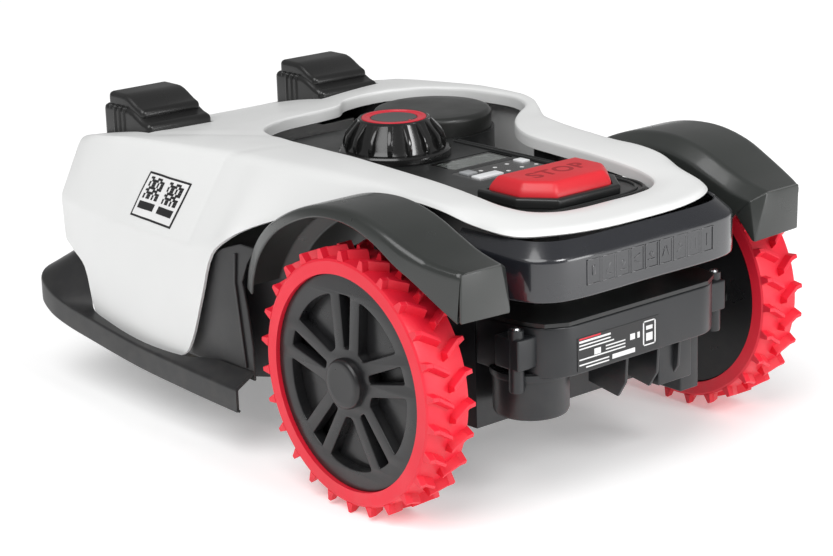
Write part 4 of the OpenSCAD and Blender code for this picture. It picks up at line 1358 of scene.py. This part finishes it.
@dataclass
class DriveWheels:
    """The two drive wheels: tyre with lugs, hub with double spokes, and cap."""

    rim_r: float = 0.103
    tread_r: float = 0.118
    wheel_r: float = 0.127
    lug_count: int = 26
    hub_in: float = 0.003
    hub_out: float = 0.004
    face: float = 0.012
    pocket: float = 0.011
    spokes: int = 5
    cap_r: float = 0.024
    cap_stub: float = 0.012
    wide_pocket: tuple[float, ...] = (0.034, 0.084, 7.5, 21.5)
    narrow_pocket: tuple[float, ...] = (0.033, 0.084, 6.5, 5.6)
    pocket_floor: tuple[float, ...] = (0.031, 0.087, 9.0, 23.0)

    def places(self) -> None:
        """Reads the wheel's place from the frame."""
        low, high = (Vector(v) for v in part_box("tyre_left"))
        self.low, self.high = low.x, high.x
        self.centre = Vector((0, (low.y + high.y) / 2, (low.z + high.z) / 2))

    def lug(self, x0: float, x1: float, a0: float, a1: float, foot: float, crest: float) -> Piece:
        """A slanted lug of the tread.

        Args:
            x0: width where it starts.
            x1: width where it ends.
            a0: its angle at the start, in degrees.
            a1: its angle at the end.
            foot: half its angle at the tread.
            crest: half its angle at its top.

        Returns:
            The lug.
        """
        points = []
        for x, a in ((x0, a0), (x1, a1)):
            for r, half in ((self.tread_r - 0.001, foot), (self.wheel_r - 0.0004, crest)):
                for s in (-1, 1):
                    t = math.radians(a + s * half)
                    points.append((x, r * math.sin(t), r * math.cos(t)))
        faces = [(0, 1, 3, 2), (4, 6, 7, 5), (0, 4, 5, 1), (2, 3, 7, 6), (0, 2, 6, 4), (1, 5, 7, 3)]
        return rounded_edges(mend(raw("lug", points, faces)), 0.0003, 1, 20.0)

    def tyre(self) -> Piece:
        """The carcass and its two staggered rows of lugs."""
        half = (self.high - self.low) / 2
        edge = self.tread_r
        profile = [(self.rim_r + 0.0002, -half), (edge - 0.003, -half), (edge - 0.0008, -half + 0.0012),
                   (edge, -half + 0.004), (edge, half - 0.004), (edge - 0.0008, half - 0.0012),
                   (edge - 0.003, half), (self.rim_r + 0.0002, half)]
        mid = (self.low + self.high) / 2
        carcass = turned("carcass", profile, (mid, 0, 0), "X", 128)
        pitch = 360 / self.lug_count
        rows = []
        for turn, outer, inner in ((0.0, self.high - 0.0004, mid + 0.001),
                                   (pitch / 2, self.low + 0.0004, mid - 0.001)):
            elbow = outer + (inner - outer) * 0.30
            rows += [(turn, outer, elbow, 0.0, 0.4, 2.2, 0.85), (turn, elbow, inner, 0.4, 5.2, 2.4, 0.85)]
        pieces = [carcass]
        for turn, x0, x1, a0, a1, foot, crest in rows:
            first = self.lug(x0, x1, a0, a1, foot, crest)
            for i in range(self.lug_count):
                angle = math.radians(turn + i * pitch)
                pieces.append(copied(first, Matrix.Rotation(angle, 4, "X")))
            bpy.data.objects.remove(first)
        tyre = joined(pieces)
        tyre.data.transform(Matrix.Translation(self.centre))
        return tyre

    def hub(self) -> Piece:
        """The hub: back plate, barrel, pierced face and pocket floors."""
        back, front = self.low + self.hub_in, self.high - self.hub_out
        ring = [(self.rim_r * math.cos(2 * math.pi * i / 128), self.rim_r * math.sin(2 * math.pi * i / 128))
                for i in range(128)]
        step = 360 / self.spokes
        turns = [90 + i * step for i in range(self.spokes)]
        wide = [sector(*self.wide_pocket, turn + step / 2) for turn in turns]
        narrow = [sector(*self.narrow_pocket, turn, 0.002) for turn in turns]
        face = pierced("face", [ring, *wide, *narrow], self.face, 0.0011)
        floors = [pierced("floor", [sector(*self.pocket_floor, turn + step / 2)], 0.004, 0.0008)
                  for turn in turns]
        for floor in floors:
            floor.data.transform(Matrix.Translation((0, 0, -self.pocket)))
        turn = Matrix(((0, 0, 1, 0), (1, 0, 0, 0), (0, 1, 0, 0), (0, 0, 0, 1)))
        pieces = [face, *floors]
        for piece in pieces:
            piece.data.transform(Matrix.Translation((front, 0, 0)) @ turn)
        depth = front - back
        shell = turned("barrel", [(0.020, 0), (self.rim_r - 0.001, 0), (self.rim_r, 0.001),
                                  (self.rim_r, depth - 0.004), (self.rim_r - 0.006, depth - 0.004),
                                  (self.rim_r - 0.007, 0.004), (0.088, depth - 0.018), (0.030, depth - 0.015),
                                  (0.028, depth - 0.002), (0.0245, depth - 0.002), (0.0245, 0.006),
                                  (0.020, 0.006)], (back, 0, 0), "X", 128)
        boss = turned("boss", [(0.0073, -0.0005), (0.012, -0.0005), (0.0125, 0.004), (0.0073, 0.004)],
                      (back, 0, 0), "X", 48)
        slot = block("slot", (back - 0.0006, 0.052, -0.004), (back + 0.002, 0.066, 0.004), 0, 0.0008)
        hub = joined([*pieces, shell, boss, slot])
        hub.data.transform(Matrix.Translation(self.centre))
        return hub

    def cap(self) -> Piece:
        """The hub cap with its rounded edge."""
        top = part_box("hub_cap_left")[1][0] - (self.high - self.hub_out - self.cap_stub)
        r = self.cap_r
        profile = [(0, 0), (r, 0), (r, top - 0.0038), (r - 0.0006, top - 0.0022), (r - 0.0018, top - 0.0008),
                   (r - 0.0036, top), (r - 0.008, top - 0.0002), (0, top - 0.0002)]
        return turned("cap", profile, (self.high - self.hub_out - self.cap_stub, *self.centre[1:]), "X", 96)

    def build(self) -> None:
        """Makes the left wheel and mirrors it."""
        self.places()
        both_sides(self.tyre(), "tyre_lugged", "wheel", TYRE_RED, "tyre_red", "tyre", own_body=True, angle=18)
        both_sides(self.hub(), "hub_spoked", "wheel", HUB_BLACK, "hub_black", "wheel_hub", own_body=True)
        both_sides(self.cap(), "hub_cap_turned", "wheel", HUB_BLACK, "hub_black", "hub_cap", own_body=True)


# ----------------------------------------------------------------------------------------------- the controls


@dataclass
class HeightKnob:
    """The height knob: a fluted cone with a red ring and a dark middle."""

    fins: int = 16
    fin_half: float = 0.0026
    ring_r: float = 0.0335
    ring_in: float = 0.0245

    def build(self) -> None:
        """Makes the knob's body with its fins, and its ring."""
        low, high = (Vector(v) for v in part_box("height_knob"))
        ring_low, ring_high = (Vector(v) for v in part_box("knob_ring"))
        x, y = (low.x + high.x) / 2, (low.y + high.y) / 2
        foot, top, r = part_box("chassis_lid")[1][2] + 0.0003, ring_high.z, (high.x - low.x) / 2
        outer, inner, centre = self.ring_r, self.ring_in, (x, y, 0)
        body = turned("knob", [(0, low.z), (0.0069, low.z), (0.0069, foot), (r - 0.0008, foot),
                               (r - 0.0002, foot + 0.0012), (r - 0.0006, foot + 0.006),
                               (r - 0.0022, foot + 0.0078), (r - 0.0068, foot + 0.0088),
                               (r - 0.0092, foot + 0.013), (r - 0.012, foot + 0.022),
                               (outer + 0.0042, top - 0.0035), (outer + 0.0036, top - 0.0012),
                               (outer + 0.0020, top - 0.0004), (outer + 0.0004, top - 0.0008),
                               (outer + 0.0002, top - 0.003), (0, top - 0.003)], centre)
        fin = prism("fin", [(r - 0.026, foot + 0.010), (r - 0.0052, foot + 0.0085),
                            (r - 0.0048, foot + 0.015), (r - 0.0075, foot + 0.0235),
                            (outer + 0.0056, top - 0.0028), (outer + 0.002, top - 0.0016)],
                    -self.fin_half, self.fin_half, 0.0009, 2, "XZ")
        pieces = [body]
        for i in range(self.fins):
            turn = Matrix.Translation((x, y, 0)) @ Matrix.Rotation(2 * math.pi * i / self.fins, 4, "Z")
            pieces.append(copied(fin, turn))
        bpy.data.objects.remove(fin)
        middle = turned("middle", [(0, top - 0.004), (inner - 0.0004, top - 0.004),
                                   (inner - 0.0004, top - 0.0016), (inner - 0.0012, top - 0.0009),
                                   (0, top - 0.0012)], centre)
        knob = joined([*pieces, middle])
        fitted(knob, "height_knob_fluted", "knob", KNOB_BLACK, "knob_black", "height_knob")
        ring = turned("ring", [(inner, top - 0.0035), (outer, top - 0.0035), (outer, top - 0.0007),
                               (outer - 0.0007, top - 0.0001), (outer - 0.0040, top - 0.0001),
                               (outer - 0.0044, top - 0.0006), (inner + 0.0010, top - 0.0006),
                               (inner, top - 0.0012)], centre)
        nick = block("nick", (x - 0.0008, y + inner, top - 0.001), (x + 0.0008, y + outer, top))
        fitted(joined([ring, nick]), "knob_ring_turned", "knob", RING_RED, "ring_red", "knob_ring")


@dataclass
class StopButton:
    """The red stop button with its sunk word."""

    taper: float = 0.0065
    waist_up: float = 0.010
    corner: float = 0.022
    bend: float = 0.027
    word: str = "STOP"
    letter: float = 0.027
    letter_width: float = 1.0
    sunk: float = 0.0011
    collar_wide: float = 0.0075
    collar_gap: float = 0.0012
    collar_up: float = 0.0095

    def build(self) -> None:
        """Makes the button, sinks the word into its top, and fills the letters' floor with a darker red as
        painted shade.
        """
        low, high = (Vector(v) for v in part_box("stop_button"))
        mid = (low + high) / 2
        half = (high.x - low.x) / 2
        back, front, bend, end = high.y, low.y, high.y - self.bend, half - self.corner
        outline = [(-half, front), (half, front), (half, bend), (end, back), (-end, back), (-half, bend)]
        upper = [(mid.x + (p[0] - mid.x) * (1 - self.taper / half),
                  mid.y + (p[1] - mid.y) * (1 - 2 * self.taper / (high.y - low.y))) for p in outline]
        levels = [(outline, low.z), (outline, high.z - self.waist_up), (upper, high.z)]
        points = [(x, y, z) for ring, z in levels for x, y in ring]
        n = len(outline)
        faces = [range(n)[::-1], range(2 * n, 3 * n)]
        for level in range(2):
            foot, head = level * n, (level + 1) * n
            faces += [(foot + i, foot + (i + 1) % n, head + (i + 1) % n, head + i) for i in range(n)]
        button = rounded_edges(mend(raw("stop", points, faces)), 0.0035, 4, 18.0)
        word = self.raised_word((mid.x, mid.y - 0.001, high.z))
        # A darker red copy of the word, set down into the letters, is painted shade on the floor of the
        # recess.
        floor = copied(word, Matrix.Translation((0, 0, -self.sunk * 0.98)))
        cut(button, word)
        fitted(button, "stop_button_cap", "stop", BUTTON_RED, "button_red", "stop_button")
        fitted(floor, "stop_button_word", "stop", STOP_PAINTED_SHADE, "button_red")
        self.collar(outline, mid)

    def collar(self, outline: Sequence[Sequence[float]], middle: Vector) -> None:
        """The raised black collar that the button sits in.

        Args:
            outline: the button's outline at its foot.
            middle: the middle of the button.
        """
        def grown(by: float) -> list[tuple[float, float]]:
            """The outline made larger on every side."""
            wide = max(abs(x - middle.x) for x, _ in outline)
            deep = max(abs(y - middle.y) for _, y in outline)
            return [(middle.x + (x - middle.x) * (1 + by / wide),
                     middle.y + (y - middle.y) * (1 + by / deep)) for x, y in outline]

        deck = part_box("chassis_lid")[1][2]
        ring = prism("collar", grown(self.collar_wide), deck - 0.0005, deck + self.collar_up, 0.0022, 3)
        cut(ring, prism("inside", grown(self.collar_gap), deck - 0.01, deck + 0.03, 0.0, 1))
        fitted(ring, "stop_collar", "chassis", DECK_BLACK, "chassis_black")

    def raised_word(self, place: Sequence[float]) -> Piece:
        """The word as a solid that reaches below the button's top, read from the tail."""
        text = bpy.data.curves.new("word", "FONT")
        text.body = self.word
        text.size = self.letter
        text.align_x, text.align_y = "CENTER", "CENTER"
        text.space_character = 1.12
        text.extrude = self.sunk
        text.offset = 0.0009
        obj = meshed("word", text)
        obj.rotation_euler = (0, 0, math.pi)
        obj.scale = (self.letter_width, 1, 1)
        obj.location = place
        return mend(settle(obj), SHARP_TEXT)


@dataclass
class ControlDeck:
    """The dark deck: its raised border, the dome, the keypad's marks and the keys."""

    border: Line = ((86, -60), (86, 268), (76, 288), (52, 297), (0, 298))
    bead_r: float = 0.0018
    dome_round: float = 0.006
    icon: float = 0.0045
    print_up: float = 0.00015
    print_down: float = 0.0002
    marks_at: Line = ((-12, 118), (-31, 118), (-49, 116), (-31, 138), (-51, 136), (-69, 138))

    def built_border(self) -> None:
        """Lays two beads along the edge of the deck, one inside the other."""
        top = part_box("chassis_lid")[1][2]
        for name, inset in (("outer", 0.0016), ("inner", 0.0070)):
            near = [(x * MM - (inset if x else 0), y * MM - (inset if y > 100 else 0))
                    for x, y in self.border]
            whole = [*near, *[(-x, y) for x, y in near[-2:0:-1]], (-0.086 + inset, 0.002)]
            line = [Vector((x, y, top + 0.0002)) for x, y in whole]
            smooth = bent(line, [0.012] * (len(line) - 2), 5)
            obj = bead(name, smooth, self.bead_r)
            fitted(obj, f"deck_border_{name}", "chassis", DECK_BLACK, "chassis_black")

    def dome(self) -> None:
        """The antenna dome with its rounded edge and a raised ring."""
        low, high = (Vector(v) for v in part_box("antenna_dome"))
        r, x, y = (high.x - low.x) / 2, (low.x + high.x) / 2, (low.y + high.y) / 2
        e = self.dome_round
        arc = [(r - e + e * math.cos(a), high.z - e + e * math.sin(a))
               for a in (math.radians(15 * i) for i in range(7))]
        profile = [(0, low.z), (r, low.z), *arc, (r - 0.020, high.z), (0, high.z)]
        dome = turned("dome", profile, (x, y, 0), steps=128)
        step = turned("step", [(r - 0.013, high.z - 0.002), (r - 0.0115, high.z - 0.002),
                               (r - 0.0118, high.z - 0.0001), (r - 0.0127, high.z - 0.0001)],
                      (x, y, 0), steps=128)
        fitted(joined([dome, step]), "antenna_dome_cover", "chassis", DOME_GREY, "chassis_black",
               "antenna_dome")

    def key(self, node: str, finish: Finish, slot: str) -> None:
        """A key with rounded edges in the place of its plain node."""
        low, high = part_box(node)
        body = "key_" + node.removesuffix("_key")
        fitted(block(node, low, high, 0.0027, 0.0007), f"{node}_cap", body, finish, slot, node)

    def icons(self) -> None:
        """Small plain printed marks on the film: a ring with a square in it for each key."""
        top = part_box("keypad_film")[1][2]
        r, up, down = self.icon / 2, self.print_up, -self.print_down
        ring, half = [(r - 0.0009, down), (r, down), (r, up), (r - 0.0009, up)], r * 0.35
        marks = []
        for x, y in self.marks_at:
            at = Vector((x * MM, y * MM, top))
            marks.append(turned("mark", ring, at, steps=24))
            marks.append(block("mark", at + Vector((-half, -half, down)), at + Vector((half, half, up))))
        fitted(joined(marks), "keypad_marks", "chassis", PRINT_WHITE, "label_white")

    def build(self) -> None:
        """Makes the border, the dome, the keys and the keypad's marks."""
        self.built_border()
        self.dome()
        self.key("start_key", KEY_GREY, "key_grey")
        self.key("ok_key", KEY_WHITE, "key_white")
        self.key("mode_key", KEY_WHITE, "key_white")
        self.icons()


# ----------------------------------------------------------------------------------------------- the rear end


@dataclass
class RearHousing:
    """The black housing under the tail, with its label, round housing, brackets and fins."""

    outline: Line = ((124, 258.3), (124, 300), (120, 320), (112, 340), (92, 351), (0, 351))
    low: float = 0.129
    round_at: tuple[float, float] = (0.094, 0.301)
    round_r: float = 0.036
    round_low: float = 0.086
    fins: tuple[float, ...] = (0.013, -0.029, -0.058)
    fin_half: float = 0.0018
    blocks: tuple[tuple[str, Point, tuple[float, float], float], ...] = (
        ("bracket", (-0.081, 0.300, 0.087), (-0.036, 0.340), 0.004),
        ("boss", (-0.107, 0.296, 0.066), (-0.082, 0.325), 0.006))
    screw_at: tuple[float, float] = (0.131, 0.322)
    bars: Line = ((0.60, 0.10, 0.98, 0.16), (0.60, 0.22, 0.98, 0.26), (0.56, 0.32, 0.98, 0.36),
                  (0.42, 0.44, 0.66, 0.48), (0.42, 0.54, 0.66, 0.58), (0.42, 0.64, 0.98, 0.68),
                  (0.62, 0.80, 0.98, 0.84), (0.62, 0.90, 0.90, 0.94), (0.72, 0.44, 0.80, 0.62),
                  (0.30, 0.34, 0.36, 0.52), (0.24, 0.34, 0.27, 0.52), (0.30, 0.78, 0.58, 0.92),
                  (0.04, 0.08, 0.20, 0.12), (0.04, 0.80, 0.20, 0.84), (0.04, 0.08, 0.055, 0.84),
                  (0.185, 0.08, 0.20, 0.84), (0.08, 0.24, 0.16, 0.36), (0.08, 0.46, 0.16, 0.70))

    def body(self) -> list[Piece]:
        """The housing itself and all that is moulded to it."""
        lid_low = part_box("rear_housing")[1][2]
        near = [Vector((x * MM, y * MM, 0)) for x, y in self.outline]
        far = [Vector((-p.x, p.y, 0)) for p in near[-2::-1]]
        smooth = bent([*near, *far], [0.012] * (len(near) + len(far) - 2), 5)
        main = prism("main", [(p.x, p.y) for p in smooth], self.low, lid_low - 0.0002, 0.0022)
        x, y = self.round_at
        r, foot = self.round_r, self.round_low
        tub = turned("tub", [(0, foot), (r - 0.005, foot), (r - 0.0015, foot + 0.0015), (r, foot + 0.005),
                             (r, self.low + 0.004), (0, self.low + 0.004)], (x, y, 0))
        collar = turned("collar", [(0, self.low - 0.004), (r + 0.0018, self.low - 0.004),
                                   (r + 0.0026, self.low - 0.002), (r + 0.0026, self.low + 0.003),
                                   (0, self.low + 0.003)], (x, y, 0))
        pieces = [main, tub, collar]
        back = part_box("rear_housing")[1][1]
        for fin in self.fins:
            outline = [(back - 0.055, self.low + 0.002), (back - 0.004, self.low + 0.002),
                       (back - 0.006, 0.104), (back - 0.016, 0.088), (back - 0.055, 0.094)]
            pieces.append(prism("fin", outline, fin - self.fin_half, fin + self.fin_half, 0.0006, 2, "YZ"))
        for name, foot, (right, rear), corner in self.blocks:
            pieces.append(block(name, foot, (right, rear, self.low + 0.002), corner, 0.0015))
        return pieces

    def lugs(self) -> list[Piece]:
        """The screw lug at each corner of the housing."""
        pieces = []
        for s in (-1, 1):
            near, far = sorted((s * 0.112, s * 0.138))
            pieces.append(block("arm", (near, 0.300, 0.140), (far, 0.332, 0.170), 0.006, 0.002))
            pieces.append(self.on_screw("post", s, [(0, 0.118), (0.0065, 0.118), (0.0072, 0.1195),
                                                    (0.0072, 0.1775), (0, 0.1775)], 48))
        return pieces

    def on_screw(self, name: str, s: int, profile: Line, steps: int) -> Piece:
        """Turns a profile round the line of the screw on one side."""
        return turned(name, profile, (s * self.screw_at[0], self.screw_at[1], 0), steps=steps)

    def label(self) -> None:
        """The rating label: plain bars, a barred square and a framed block in place of print."""
        low, high = (Vector(v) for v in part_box("rating_label"))
        wide, tall = high.x - low.x, high.z - low.z
        under, over = high.y - 0.0002, high.y + 0.00012
        marks = [block("mark", (low.x + wide * u0, under, high.z - tall * v1),
                       (low.x + wide * u1, over, high.z - tall * v0)) for u0, v0, u1, v1 in self.bars]
        fitted(joined(marks), "rating_label_marks", "chassis", PRINT_WHITE, "label_white")
        stripe = block("stripe", (low.x + wide * 0.72, under, high.z - 0.0022),
                       (low.x + wide * 0.98, over, high.z - 0.0006))
        fitted(stripe, "rating_label_stripe", "chassis", RING_RED, "ring_red")

    def build(self) -> None:
        """Makes the housing and its label."""
        housing = joined([*self.body(), *self.lugs()])
        fitted(housing, "rear_housing_shell", "chassis", CHASSIS_BLACK, "chassis_black", "rear_housing")
        head = [(0, 0.1770), (0.0045, 0.1770), (0.0045, 0.1782), (0.0036, 0.1795), (0, 0.1797)]
        heads = [self.on_screw("head", s, head, 32) for s in (-1, 1)]
        fitted(joined(heads), "housing_screws", "chassis", STEEL, "steel")
        self.label()


# --------------------------------------------------------------------------------------- what the frame keeps


KEPT: dict[str, Finish] = {
    "chassis_tray": CHASSIS_BLACK, "chassis_lid": DECK_BLACK, "battery_pack": PACK_BLUE,
    "battery_door": CHASSIS_BLACK, "main_board": BOARD_GREEN, "display_window": WINDOW,
    "display_module": LCD_GREY, "keypad_film": KNOB_BLACK, "antenna_puck": CERAMIC, "stop_switch": RUBBER,
    "gearmotor_left": DARK_STEEL, "gearmotor_right": DARK_STEEL, "charging_contacts": BRASS,
    "rating_label": PRINT_BLACK, "chassis_screws": STEEL, "float_posts": RUBBER, "caster_bushes": BRASS,
    "float_sockets": TRIM_BLACK,
    "drive_shaft_left": STEEL, "drive_shaft_right": STEEL, "caster_fork_left": TRIM_BLACK,
    "caster_fork_right": TRIM_BLACK, "caster_axle_left": STEEL, "caster_axle_right": STEEL,
    "lift_carriage": DARK_STEEL, "blade_motor": DARK_STEEL, "blade_disc": STEEL, "blade_1": STEEL,
    "blade_2": STEEL, "blade_3": STEEL, "blade_screws": DARK_STEEL,
}


@dataclass
class Casters:
    """The two front casters' wheels."""

    groove: float = 0.0012

    def build(self) -> None:
        """Turns a grooved wheel for each caster."""
        low, high = (Vector(v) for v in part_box("caster_wheel_left"))
        r, half = (high.z - low.z) / 2, (high.x - low.x) / 2
        side = [(0.0042, -half), (0.014, -half), (0.016, -half + 0.003), (r - 0.014, -half + 0.003),
                (r - 0.011, -half), (r - 0.006, -half), (r - 0.002, -half + 0.004),
                (r - 0.0004, -half + 0.009)]
        tread = []
        for i in (-1, 0, 1):
            z = i * 0.005
            tread += [(r, z - 0.0016), (r - self.groove, z - 0.0009), (r - self.groove, z + 0.0009),
                      (r, z + 0.0016)]
        profile = [*side, *tread, *[(a, -b) for a, b in side[::-1]]]
        centre = ((low.x + high.x) / 2, (low.y + high.y) / 2, (low.z + high.z) / 2)
        wheel = turned("caster", profile, centre, "X", 96)
        both_sides(wheel, "caster_tyre", "caster_roll", RUBBER, "rubber_black", "caster_wheel", own_body=True)


def dress(nodes: dict[str, Piece]) -> None:
    """Gives every node that the frame still shows its material."""
    for name, finish in KEPT.items():
        nodes[name].data.materials.clear()
        nodes[name].data.materials.append(finish.material())
        LOG.info("%s keeps its shape, finished as %s", name, finish.name)


def main() -> None:
    """Builds the studio and every piece."""
    logging.basicConfig(level=logging.INFO, format="%(message)s")
    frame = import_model()
    Studio().build()
    for part in (TopCover, Bumper, SidePanels, Fenders, TailBand, SensorPods, DriveWheels, HeightKnob,
                 StopButton, ControlDeck, RearHousing, Casters):
        part().build()
    dress(frame["nodes"])
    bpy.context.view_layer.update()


if __name__ == "__main__":
    main()
